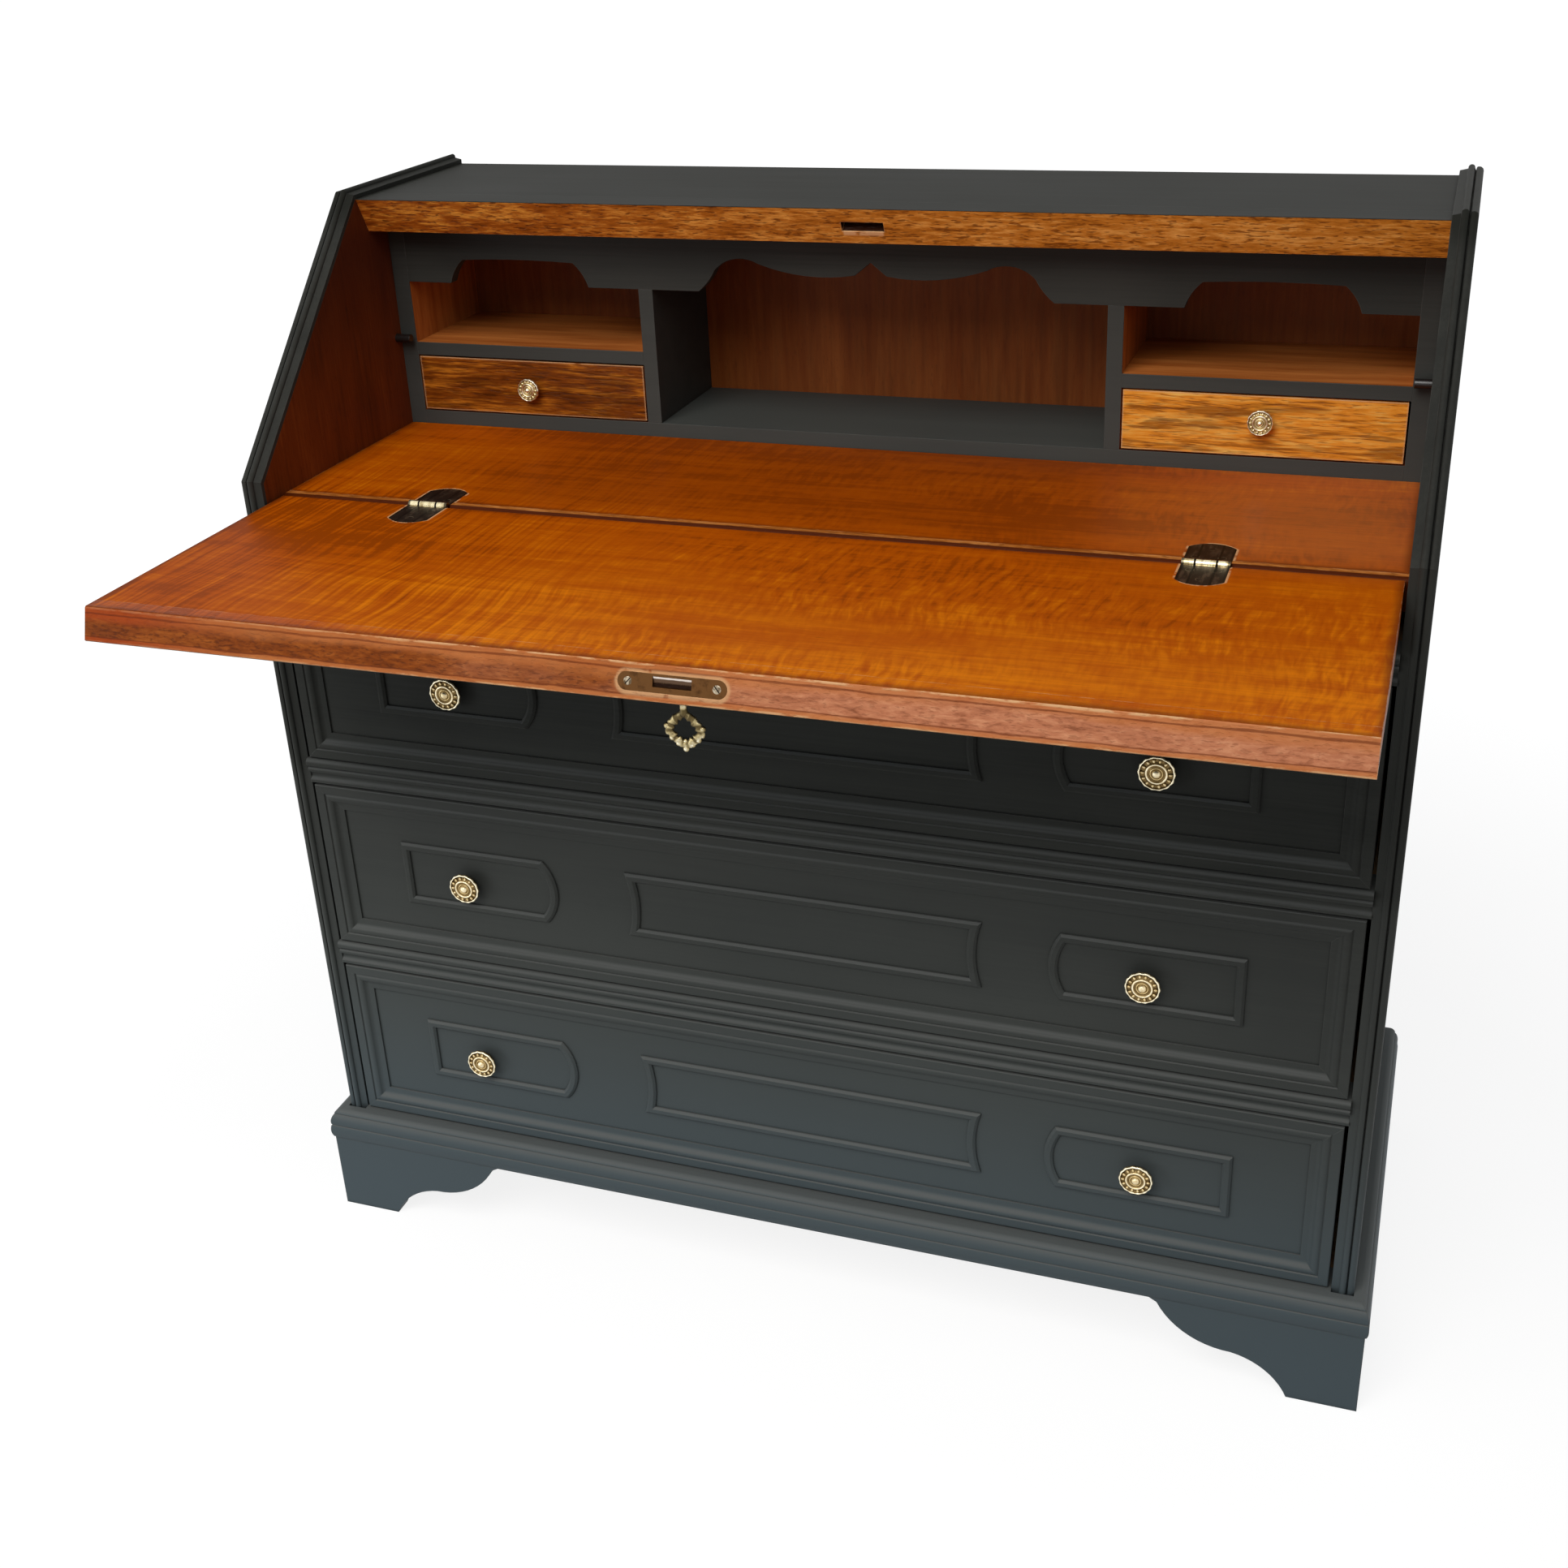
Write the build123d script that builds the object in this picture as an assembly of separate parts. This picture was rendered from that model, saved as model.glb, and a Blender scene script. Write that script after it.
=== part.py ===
from build123d import *
import os
from math import asin, cos, hypot, radians, sin, tan

# Slant-front secretary desk: a chest of three drawers under a drop flap that
# opens into a writing surface, with a small gallery behind it.
# Millimetres. X runs to the right, Y from the front to the back, Z up from the
# floor. The origin is on the floor, in the middle of the desk's width and of its
# whole depth with the flap open.
# "Depth" below means the distance behind the foremost face of the carcass.

# ---------------------------------------------------------------- driving sizes
# carcass
INNER_WIDTH = 940.0            # clear width between the side panels
SIDE_THICKNESS = 19.0
CARCASS_DEPTH = 417.0
TOP_HEIGHT = 967.0             # upper face of the top board
GALLERY_HEIGHT = 219.0         # writing surface to the upper face of the top board
EDGE_MOULDING_DEPTH = 9.0      # stands in front of, and above, the side panels
SLOPE_ANGLE = 44.5             # of the closed flap, from horizontal
SLOPE_LIFT = 21.0              # the sides begin to slope this far above the writing surface
TOP_THICKNESS = 22.0
TOP_RAIL_WIDTH = 22.85250      # from the closed flap's edge to the back of the top's front rail
BEVEL_HEIGHT = 31.0            # height of the bevelled rail that meets the flap
BACK_THICKNESS = 8.0
BED_THICKNESS = 25.5
NOSING_WIDTH = 10.0
NOSING_RADIUS = 4.0

# drawers and the rails between them, from the bottom up
DRAWER_FLOOR = 115.0           # lowest drawer runs at this height
RAIL_HEIGHT = 24.5
RAIL_DEPTH = 31.0
BOTTOM_THICKNESS = 18.0
RUNNER_WIDTH = 22.0
DRAWER_GAP_SIDE = 3.0
DRAWER_GAP_TOP = 2.5
DRAWER_GAP_BOTTOM = 1.5
RUNNING_GAP = 0.3              # under every sliding piece
FRONT_SETBACK = 9.0            # depth of the flat field of a drawer front
FRONT_THICKNESS = 20.0
FRAME_WIDTH = 25.0             # moulding planted round a drawer front
FRAME_HEIGHT = 6.0
FIELD_HEIGHT = 64.0            # three beaded fields on each drawer front
FIELD_BEAD_WIDTH = 8.0
FIELD_BEAD_HEIGHT = 3.4
LEFT_FIELD = (243.0, 387.0, 13.0)   # side field: inner corners and outer edge from the
RIGHT_FIELD = (229.0, 380.0, 10.0)  # centre line, and the bulge of its inner end
MID_FIELD_HALF = 162.5
MID_FIELD_HOLLOW = 5.0
BOX_SIDE = 12.0                # boards of the drawer box
BOX_SIDE_DROP = 26.0           # drawer sides are this much lower than their opening
BOX_BOTTOM = 5.0
BOX_BOTTOM_LIFT = 10.0
KNOB_PLACES = ((-328.0, 301.0), (-321.0, 299.0), (-314.0, 302.0))  # set by hand, lowest drawer first
KNOB_DROP = 3.0                # below the middle of a front
KNOB_RADIUS = 15.0
KNOB_STEM = 14.0               # from the drawer front to the knob's crown
SCREW_RADIUS = 2.0

# flap, hinges and lock
HINGE_SETBACK = 33.5           # depth of the hinge pins
HINGE_GAP = 1.0                # from the pins' line to flap and to bed
FLAP_DROP = 28.70313           # upper edge of the closed flap below the top's upper face
FLAP_THICKNESS = 25.5
FLAP_SLANT = 18.2              # the front edge leans out towards the outer face
FLAP_SIDE_GAP = 2.5
FLAP_CLOSE_GAP = 1.5
LIPPING_WIDTH = 14.0
LIP_EASE = 1.0                 # small chamfer along the lipping's lower edge
HINGE_SPACING = 326.0          # from the centre line
HINGE_WIDTH = 36.0
LEAF_LENGTH = 45.0
LEAF_THICKNESS = 2.2
LEAF_END_RISE = 9.0            # how far the rounded end stands out
BARREL_RADIUS = 3.5
PIN_RADIUS = 1.5
PIN_CLEARANCE = 0.05
KNUCKLE_LENGTH = 16.0          # the middle knuckle, on the flap
KNUCKLE_GAP = 0.3
LOCK_X = 10.0                  # the lock stands a little right of the middle
PLATE_LENGTH = 80.0
PLATE_HEIGHT = 13.0
PLATE_THICKNESS = 2.0
PLATE_SCREWS = 32.5            # from the middle of the plate to each screw
WINDOW_DROP = 2.6              # the plate's window reaches this far below the bolt
CASE_LENGTH = 60.0
CASE_WALL = 1.2
CASE_HEIGHT = 14.0
CASE_DROP = 6.5                # upper face of the case below the writing surface
CASE_BACK = 12.0               # from the key's axis to the back of the case
CASE_GAP = 0.6                 # between face plate and case
BOLT_WIDTH = 28.0
BOLT_THICKNESS = 4.0
BOLT_LENGTH = 19.0
BOLT_THROW = 6.0
TALON_WIDTH = 1.2              # the two lugs under the bolt that the key's bit drives
BOLT_DROP = 10.5               # middle of the bolt below the writing surface
BOLT_CLEARANCE = 0.2
BOLT_SLOT_DEPTH = 14.0
KEY_SETBACK = 16.5             # from the flap's mean front edge to the key's axis
KEY_SHANK_RADIUS = 2.5
KEY_CLEARANCE = 0.08
KEY_BIT_REACH = 6.0
KEY_BIT_HEIGHT = 4.0
KEY_BIT_THICKNESS = 2.2
KEY_DROP = 45.0                # key below the flap's outer face
KEY_BOW_WIDTH = 33.0
KEY_THICKNESS = 4.0
ESCUTCHEON_RADIUS = 9.0
ESCUTCHEON_THICKNESS = 1.0
KEYHOLE_SLOT = 2.6

# lopers, the slides that carry the open flap
LOPER_WIDTH = 22.0
LOPER_OPENING = 21.0           # from the top drawer rail to the underside of the flap
LOPER_LENGTH = 300.0
LOPER_OUT = 118.0              # how far they are pulled out under the open flap
LOPER_SIDE_GAP = 3.0
GUIDE_WIDTH = 12.0
LOPER_KNOB_RADIUS = 5.0

# gallery
GALLERY_SETBACK = 12.0         # its front stands behind the top's front rail
GALLERY_CLEARANCE = 13.0       # from its back to the desk's back panel
GALLERY_BACK = 6.0
GALLERY_END = 16.0             # thickness of the end panels
DIVIDER_THICKNESS = 13.5
DIVIDER_INNER = 206.0          # from the centre line to a divider
GALLERY_FLOOR = 13.0
SHELF_HEIGHT = 67.0            # underside above the writing surface
SHELF_THICKNESS = 12.0
VALANCE_THICKNESS = 12.0
VALANCE_LOW = 136.0            # above the writing surface, at the flats
VALANCE_HIGH = 157.5           # in the side bays
SMALL_GAP = 1.5                # round the small drawer fronts
SMALL_FRONT = 12.5
SMALL_BOX_SIDE = 6.0
SMALL_BOX_HEIGHT = 46.0
SMALL_BOX_BOTTOM = 3.0
SMALL_BOX_LIFT = 3.0
SMALL_KNOB_RADIUS = 11.0
SMALL_KNOB_STEM = 12.0
SMALL_KNOB_RISE = 5.0          # the right-hand small knob sits this much higher
PEG_RADIUS = 4.0
PEG_LENGTH = 15.0
PEG_SEAT = 12.0
PEG_HEIGHT = 84.0              # above the writing surface
PEG_GAP = 4.0                  # from the peg to the gallery's front

# base
BASE_MOULDING_HEIGHT = 33.0
BASE_OVERHANG = 15.5
FOOT_OVERHANG = 13.0
FOOT_THICKNESS = 18.0
FOOT_PAD = 60.0                # width of the foot where it stands
FOOT_LENGTH = 183.0            # along the apron
BLOCK = 38.0
BLOCK_LIFT = 8.0

# ---------------------------------------------------------------- derived places
SLOPE = radians(SLOPE_ANGLE)
SLANT = radians(FLAP_SLANT)
DESK_HEIGHT = TOP_HEIGHT - GALLERY_HEIGHT                # writing surface
SLOPE_START = DESK_HEIGHT + SLOPE_LIFT
FLAP_REACH = (GALLERY_HEIGHT - FLAP_DROP) / sin(SLOPE)   # hinge line to the upper front edge
TOP_RAIL_BACK = HINGE_SETBACK + FLAP_REACH * cos(SLOPE) + TOP_RAIL_WIDTH
GALLERY_DEPTH = TOP_RAIL_BACK + GALLERY_SETBACK
GALLERY_LENGTH = CARCASS_DEPTH - BACK_THICKNESS - GALLERY_DEPTH - GALLERY_CLEARANCE
DRAWER_OPENING = (DESK_HEIGHT - FLAP_THICKNESS - LOPER_OPENING - DRAWER_FLOOR) / 3 - RAIL_HEIGHT
BOX_SIDE_HEIGHT = DRAWER_OPENING - BOX_SIDE_DROP
FLAP_OVERHANG = FLAP_REACH - HINGE_SETBACK + (FLAP_THICKNESS - LIP_EASE) * tan(SLANT)
FRONT = (FLAP_OVERHANG - CARCASS_DEPTH) / 2
BACK = (FLAP_OVERHANG + CARCASS_DEPTH) / 2
HALF = INNER_WIDTH / 2
OUTER = HALF + SIDE_THICKNESS
CARCASS_FLOOR = DRAWER_FLOOR - BASE_MOULDING_HEIGHT
BACK_FACE = BACK - BACK_THICKNESS
HINGE_Y = FRONT + HINGE_SETBACK
DRAWER_PITCH = DRAWER_OPENING + RAIL_HEIGHT
RAIL_TOP = DRAWER_FLOOR + 3 * DRAWER_PITCH
FLAP_UNDER = DESK_HEIGHT - FLAP_THICKNESS
BED_UNDER = DESK_HEIGHT - BED_THICKNESS
FLAP_HALF = HALF - FLAP_SIDE_GAP
GALLERY_Y = FRONT + GALLERY_DEPTH
GALLERY_TOP = TOP_HEIGHT - TOP_THICKNESS
BAY_INNER = DIVIDER_INNER + DIVIDER_THICKNESS
BAY_OUTER = HALF - GALLERY_END
SHELF_UNDER = DESK_HEIGHT + SHELF_HEIGHT
REACH = 60.0                   # moulding is cut overlong by this, then mitred


# ---------------------------------------------------------------- small helpers
def board(x0, x1, y0, y1, z0, z1):
    """A square-cut board, given by its six faces."""
    return Pos((x0 + x1) / 2, (y0 + y1) / 2, (z0 + z1) / 2) * Box(x1 - x0, y1 - y0, z1 - z0)


def outline(start, *steps):
    """A face drawn from start: a step (x, y) is a line, ((mx, my), (x, y)) an arc."""
    edges = []
    here = start
    for step in steps:
        if isinstance(step[0], tuple):
            edges.append(ThreePointArc(here, step[0], step[1]))
            here = step[1]
        else:
            edges.append(Line(here, step))
            here = step
    if here != start:
        edges.append(Line(here, start))
    return make_face(edges)


def along_x(face, x0, x1):
    """A face drawn in (Y, Z), made solid from x0 to x1."""
    return Pos(x0, 0, 0) * extrude(Plane.YZ * face, amount=x1 - x0, dir=(1, 0, 0))


def along_y(face, y0, y1):
    """A face drawn in (X, Z), made solid from y0 to y1."""
    return Pos(0, y0, 0) * extrude(Plane.XZ * face, amount=y1 - y0, dir=(0, 1, 0))


def rod(radius, start, end):
    """A round rod between two points."""
    a = Vector(*start)
    way = Vector(*end) - a
    return Plane(origin=a, z_dir=way) * extrude(Circle(radius), amount=way.length)


def mirrored(solid):
    """The same piece on the other side of the desk."""
    return mirror(solid, about=Plane.YZ)


def both_sides(solid):
    return [mirrored(solid), solid]


def moulding_run(profile, points, normal, flat=False, closed=False):
    """Mitred lengths of moulding along a flat path, one solid each.

    The profile is drawn with its back on the X axis. Laid flat, its height
    stands along the normal and its width lies to the left of the path.
    Otherwise its width runs along the normal and it stands out to the right.
    """
    places = [Vector(*point) for point in points]
    up = Vector(*normal)
    count = len(places) if closed else len(places) - 1
    ways = [(places[(i + 1) % len(places)] - places[i]).normalized() for i in range(count)]
    strips = []
    for i, way in enumerate(ways):
        start = places[i]
        end = places[(i + 1) % len(places)]
        before = ways[i - 1] if closed or i > 0 else way
        after = ways[(i + 1) % count] if closed or i < count - 1 else way
        left = up.cross(way)
        across, out = (left, up) if flat else (up, -left)
        cut = Plane(origin=start - way * REACH, x_dir=across, z_dir=across.cross(out))
        strip = extrude(cut * profile, amount=(end - start).length + 2 * REACH, dir=way)
        strip = split(strip, bisect_by=Plane(origin=start, z_dir=before + way), keep=Keep.TOP)
        strip = split(strip, bisect_by=Plane(origin=end, z_dir=after + way), keep=Keep.BOTTOM)
        strips.append(strip)
    return strips


def save(node, *pieces):
    """Writes one node: every solid in the pieces, kept apart."""
    solids = []
    for piece in pieces:
        for item in piece if isinstance(piece, list) else [piece]:
            solids.extend(item.solids())
    export_step(Compound(solids), f"parts/{node}.step")
    print(node, len(solids))


# ---------------------------------------------------------------- slope geometry
def slope_y(height, inset=0.0):
    """Y of the sloping edge at a height, for a line inset from the outermost one."""
    return FRONT + ((height - SLOPE_START) * cos(SLOPE) + inset) / sin(SLOPE)


def slope_z(y, inset=0.0):
    """Height of the sloping edge at a Y."""
    return SLOPE_START + ((y - FRONT) * sin(SLOPE) - inset) / cos(SLOPE)


def side_outline(inset):
    """Corners of the side from the front foot round to the top of the back."""
    front = FRONT + inset
    top = TOP_HEIGHT + EDGE_MOULDING_DEPTH - inset
    return [(front, CARCASS_FLOOR), (front, slope_z(front, inset)), (slope_y(top, inset), top), (BACK, top)]


def closed_point(reach, offset):
    """(Y, Z) on the closed flap: reach from the hinge line, offset outwards from its inner face."""
    y = HINGE_Y + reach * cos(SLOPE) - offset * sin(SLOPE)
    z = DESK_HEIGHT + reach * sin(SLOPE) + offset * cos(SLOPE)
    return y, z


def bevel_y(height):
    """Y of the bevelled rail's face, parallel to the closed flap's edge."""
    inner = closed_point(FLAP_REACH, 0.0)
    outer = closed_point(FLAP_REACH + FLAP_THICKNESS * tan(SLANT), FLAP_THICKNESS)
    ey, ez = outer[0] - inner[0], outer[1] - inner[1]
    length = hypot(ey, ez)
    y0 = inner[0] + FLAP_CLOSE_GAP * ez / length
    z0 = inner[1] - FLAP_CLOSE_GAP * ey / length
    return y0 + (height - z0) * ey / ez


def flap_face_y(height):
    """Y of the open flap's slanted front edge at a height."""
    return HINGE_Y - FLAP_REACH - (DESK_HEIGHT - height) * tan(SLANT)


# ---------------------------------------------------------------- moulding profiles
def edge_profile():
    """Flat, bead, quirk and outer bead, across the thickness of a side panel."""
    u = SIDE_THICKNESS / 19
    h = EDGE_MOULDING_DEPTH / 9
    return outline((0, 0), (0, 4 * h), (6.5 * u, 5.5 * h), (6.5 * u, 6.5 * h),
                   ((9.3 * u, 9 * h), (12 * u, 6.2 * h)), (12.8 * u, 4.2 * h), (13.4 * u, 6.8 * h),
                   ((16 * u, 7.2 * h), (19 * u, 3.5 * h)), (19 * u, 0))


def rail_profile(bottom, height=RAIL_HEIGHT):
    """Section of a drawer rail in (Y, Z): two beads, a hollow and a small fillet."""
    y = FRONT
    k = height / 24.5
    z = bottom
    return outline((y + RAIL_DEPTH, z), (y + RAIL_DEPTH, z + height), (y + 3.5, z + height),
                   ((y + 0.2, z + 21 * k), (y + 3.2, z + 16.6 * k)), (y + 4.4, z + 15.8 * k),
                   ((y + 1.8, z + 13 * k), (y + 4.4, z + 10.4 * k)), (y + 5.4, z + 9.6 * k),
                   ((y + 6.2, z + 6 * k), (y + 3.4, z + 2.6 * k)), (y + 3.4, z))


def base_profile():
    """Base moulding: width up the carcass, height outwards; three beads under a sloping top."""
    k = BASE_MOULDING_HEIGHT / 33
    h = BASE_OVERHANG / 15.5
    foot = FOOT_OVERHANG
    return outline((0, 0), (0, foot), (1.2 * k, foot), (1.8 * k, 13.9 * h),
                   ((10 * k, 15.5 * h), (15.4 * k, 14.7 * h)), (16.2 * k, 13.5 * h), (16.9 * k, 14.4 * h),
                   ((21.5 * k, 14.5 * h), (27.2 * k, 12.2 * h)), (28.2 * k, 10.6 * h), (28.9 * k, 11.2 * h),
                   ((31.8 * k, 9.2 * h), (33 * k, 6 * h)), (33 * k, 0))


def frame_profile():
    """Moulding round a drawer front, from its outer edge inwards."""
    u = FRAME_WIDTH / 25
    h = FRAME_HEIGHT / 6
    return outline((0, 0), (0, 5 * h), ((0.3 * u, 5.7 * h), (1 * u, 6 * h)), (8.5 * u, 6 * h),
                   (9.2 * u, 4.8 * h), (10 * u, 5.2 * h), ((13 * u, 6 * h), (16 * u, 4.6 * h)),
                   ((18 * u, 2.6 * h), (21 * u, 1.9 * h)), (25 * u, 1.6 * h), (25 * u, 0))


# ---------------------------------------------------------------- carcass
def side_panel():
    corners = side_outline(EDGE_MOULDING_DEPTH) + [(BACK, CARCASS_FLOOR)]
    panel = along_x(outline(*corners), HALF, OUTER)
    return panel - peg_rod(0.0)


def peg_rod(proud):
    """A gallery peg, or with proud at nought its hole in the side panel."""
    y = GALLERY_Y - PEG_GAP - PEG_RADIUS
    z = DESK_HEIGHT + PEG_HEIGHT
    return rod(PEG_RADIUS, (HALF - proud, y, z), (HALF + PEG_SEAT, y, z))


def edge_moulding():
    path = [(HALF, y, z) for y, z in reversed(side_outline(EDGE_MOULDING_DEPTH))]
    return moulding_run(edge_profile(), path, (1, 0, 0))


def top_front_rail():
    """The varnished rail whose bevel meets the flap, with a slot for the lock's bolt."""
    low = TOP_HEIGHT - BEVEL_HEIGHT
    back = FRONT + TOP_RAIL_BACK
    section = outline((bevel_y(TOP_HEIGHT), TOP_HEIGHT), (bevel_y(low), low), (back, low), (back, TOP_HEIGHT))
    rail = along_x(section, -HALF, HALF)
    y, z = closed_point(FLAP_REACH, BOLT_DROP)
    slot = Pos(-4, -1.5, 0) * Box(BOLT_WIDTH + 9, BOLT_THICKNESS + 5, 2 * BOLT_SLOT_DEPTH)
    return rail - Plane(origin=(LOCK_X, y, z), x_dir=(1, 0, 0), z_dir=(0, cos(SLOPE), sin(SLOPE))) * slot


def carcass():
    back_of_rail = FRONT + RAIL_DEPTH
    save("side_panel_left", mirrored(side_panel()))
    save("side_panel_right", side_panel())
    save("edge_mouldings", edge_moulding(), [mirrored(strip) for strip in edge_moulding()])
    save("top_board", board(-HALF, HALF, FRONT + TOP_RAIL_BACK, BACK, GALLERY_TOP, TOP_HEIGHT))
    save("top_front_rail", top_front_rail())
    save("back_panel", board(-HALF, HALF, BACK_FACE, BACK, CARCASS_FLOOR, GALLERY_TOP))
    save("writing_bed", writing_bed())
    save("bed_nosing", bed_nosing())
    for node, level in (("lower_drawer_rail", 1), ("middle_drawer_rail", 2), ("upper_drawer_rail", 3)):
        bottom = DRAWER_FLOOR + level * DRAWER_PITCH - RAIL_HEIGHT
        save(node, along_x(rail_profile(bottom), -HALF, HALF))
    save("loper_rail", loper_rail())
    under = DRAWER_FLOOR - BOTTOM_THICKNESS
    save("bottom_board", board(-HALF, HALF, back_of_rail, BACK_FACE, under, DRAWER_FLOOR))
    save("bottom_rail", board(-HALF, HALF, FRONT, back_of_rail, CARCASS_FLOOR, DRAWER_FLOOR))
    runners = []
    inner = HALF - RUNNER_WIDTH
    for level in (1, 2, 3):
        top = DRAWER_FLOOR + level * DRAWER_PITCH
        runners += both_sides(board(inner, HALF, back_of_rail, BACK_FACE, top - RAIL_HEIGHT, top))
    save("drawer_runners", runners)


def loper_rail():
    """Fascia between the two lopers, under the flap's hinged edge."""
    end = HALF - LOPER_SIDE_GAP - LOPER_WIDTH - RUNNING_GAP
    return board(-end, end, FRONT + FRONT_SETBACK, FRONT + RAIL_DEPTH, RAIL_TOP, FLAP_UNDER - RUNNING_GAP)


def writing_bed():
    bed = board(-HALF, HALF, HINGE_Y + HINGE_GAP + NOSING_WIDTH, BACK_FACE, BED_UNDER, DESK_HEIGHT)
    for cut in bed_hinge_cuts():
        bed -= cut
    return bed


def bed_nosing():
    """Rounded strip along the front of the writing bed."""
    y0 = HINGE_Y + HINGE_GAP
    y1 = y0 + NOSING_WIDTH
    r = NOSING_RADIUS
    bend = r * (1 - cos(radians(45)))
    section = outline((y0, BED_UNDER), (y0, DESK_HEIGHT - r),
                      ((y0 + bend, DESK_HEIGHT - bend), (y0 + r, DESK_HEIGHT)),
                      (y1, DESK_HEIGHT), (y1, BED_UNDER))
    nosing = along_x(section, -HALF, HALF)
    for cut in bed_hinge_cuts():
        nosing -= cut
    return nosing


# ---------------------------------------------------------------- base
def foot_outline():
    """Bracket foot in (distance from the corner, height), with its ogee edge."""
    k = CARCASS_FLOOR / 82
    return outline((0, 0), (FOOT_PAD, 0), ((FOOT_PAD + 18, 24 * k), (FOOT_PAD + 50, 38 * k)),
                   ((FOOT_LENGTH - 28, 53 * k), (FOOT_LENGTH - 7, 78 * k)),
                   (FOOT_LENGTH, 82 * k), (0, 82 * k))


def front_bracket():
    """Right-hand front bracket, mitred at the corner of the desk."""
    corner = (OUTER + FOOT_OVERHANG, FRONT - FOOT_OVERHANG, 0)
    frame = Plane(origin=corner, x_dir=(-1, 0, 0), z_dir=(0, 1, 0))
    bracket = extrude(frame * foot_outline(), amount=FOOT_THICKNESS)
    return split(bracket, bisect_by=Plane(origin=corner, z_dir=(-1, -1, 0)), keep=Keep.TOP)


def side_bracket_front():
    corner = (OUTER + FOOT_OVERHANG, FRONT - FOOT_OVERHANG, 0)
    frame = Plane(origin=corner, x_dir=(0, 1, 0), z_dir=(1, 0, 0))
    bracket = extrude(frame * foot_outline(), amount=-FOOT_THICKNESS)
    return split(bracket, bisect_by=Plane(origin=corner, z_dir=(1, 1, 0)), keep=Keep.TOP)


def side_bracket_back():
    corner = (OUTER + FOOT_OVERHANG, BACK, 0)
    frame = Plane(origin=corner, x_dir=(0, -1, 0), z_dir=(-1, 0, 0))
    return extrude(frame * foot_outline(), amount=FOOT_THICKNESS)


def corner_blocks():
    """Square blocks glued inside the feet, front and back."""
    x1 = OUTER + FOOT_OVERHANG - FOOT_THICKNESS
    y0 = FRONT - FOOT_OVERHANG + FOOT_THICKNESS
    y1 = BACK - FOOT_THICKNESS
    front = board(x1 - BLOCK, x1, y0, y0 + BLOCK, BLOCK_LIFT, CARCASS_FLOOR)
    back = board(x1 - BLOCK, x1, y1 - BLOCK, y1, BLOCK_LIFT, CARCASS_FLOOR)
    return both_sides(front) + both_sides(back)


def base():
    path = [(-OUTER, BACK, CARCASS_FLOOR), (-OUTER, FRONT, CARCASS_FLOOR),
            (OUTER, FRONT, CARCASS_FLOOR), (OUTER, BACK, CARCASS_FLOOR)]
    save("base_mouldings", moulding_run(base_profile(), path, (0, 0, 1)))
    save("front_bracket_feet", both_sides(front_bracket()))
    save("side_bracket_feet", both_sides(side_bracket_front()), both_sides(side_bracket_back()))
    inner = OUTER + FOOT_OVERHANG - FOOT_THICKNESS
    save("back_feet", both_sides(board(inner - BLOCK, inner, BACK - FOOT_THICKNESS, BACK, 0, CARCASS_FLOOR)))
    save("foot_corner_blocks", corner_blocks())


# ---------------------------------------------------------------- drawers
def turned_knob(radius, stem):
    """A turned brass knob standing on its base: waisted neck, dished rim and a round cap."""
    r = radius / 15
    s = stem / 20
    cap = 5 * r
    rise = 2.4 * s
    ball = (cap**2 + rise**2) / (2 * rise)
    turn = asin(cap / ball) / 2
    shoulder = (ball * sin(turn), 20 * s - ball * (1 - cos(turn)))
    section = outline((0, 0), (8 * r, 0), (8 * r, 1.6 * s), (5 * r, 3.4 * s),
                      ((4 * r, 6.5 * s), (6.5 * r, 11 * s)), (13.5 * r, 12.6 * s),
                      ((15 * r, 14 * s), (14.4 * r, 15.6 * s)), (12 * r, 16.6 * s), (10.4 * r, 16 * s),
                      ((8.4 * r, 17.6 * s), (6.2 * r, 16.8 * s)), (cap, 17.6 * s), (shoulder, (0, 20 * s)))
    return revolve(Plane.XZ * section, axis=Axis.Z)


def facing_front(x, y, z):
    """Plane on a drawer front, looking out at the user."""
    return Plane(origin=(x, y, z), x_dir=(1, 0, 0), z_dir=(0, -1, 0))


def knob(x, y, z, radius, stem, board_thickness):
    """A knob on a drawer front, and the screw that holds it from inside."""
    bite = 0.4 * stem
    screw = rod(SCREW_RADIUS, (x, y - bite, z), (x, y + board_thickness, z))
    screw += rod(2 * SCREW_RADIUS, (x, y + board_thickness, z), (x, y + board_thickness + SCREW_RADIUS, z))
    return [facing_front(x, y, z) * turned_knob(radius, stem) - screw, screw]


def drawer_box(middle, half, front_y, front_thickness, floor, side, height, bottom, lift, rear):
    """Sides, back and bottom of a drawer box; the front is grooved for the bottom by its maker."""
    x0, x1 = middle - half, middle + half
    y0 = front_y + front_thickness
    tongue = side / 2
    low = floor + lift
    panel = board(x0 + side - tongue, x1 - side + tongue, y0 - tongue, rear, low, low + bottom)
    sides = [board(x0, x0 + side, y0, rear, floor, floor + height) - panel,
             board(x1 - side, x1, y0, rear, floor, floor + height) - panel]
    end = board(x0 + side, x1 - side, rear - side, rear, floor + lift + bottom, floor + height - side / 2)
    return sides, end, panel


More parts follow.
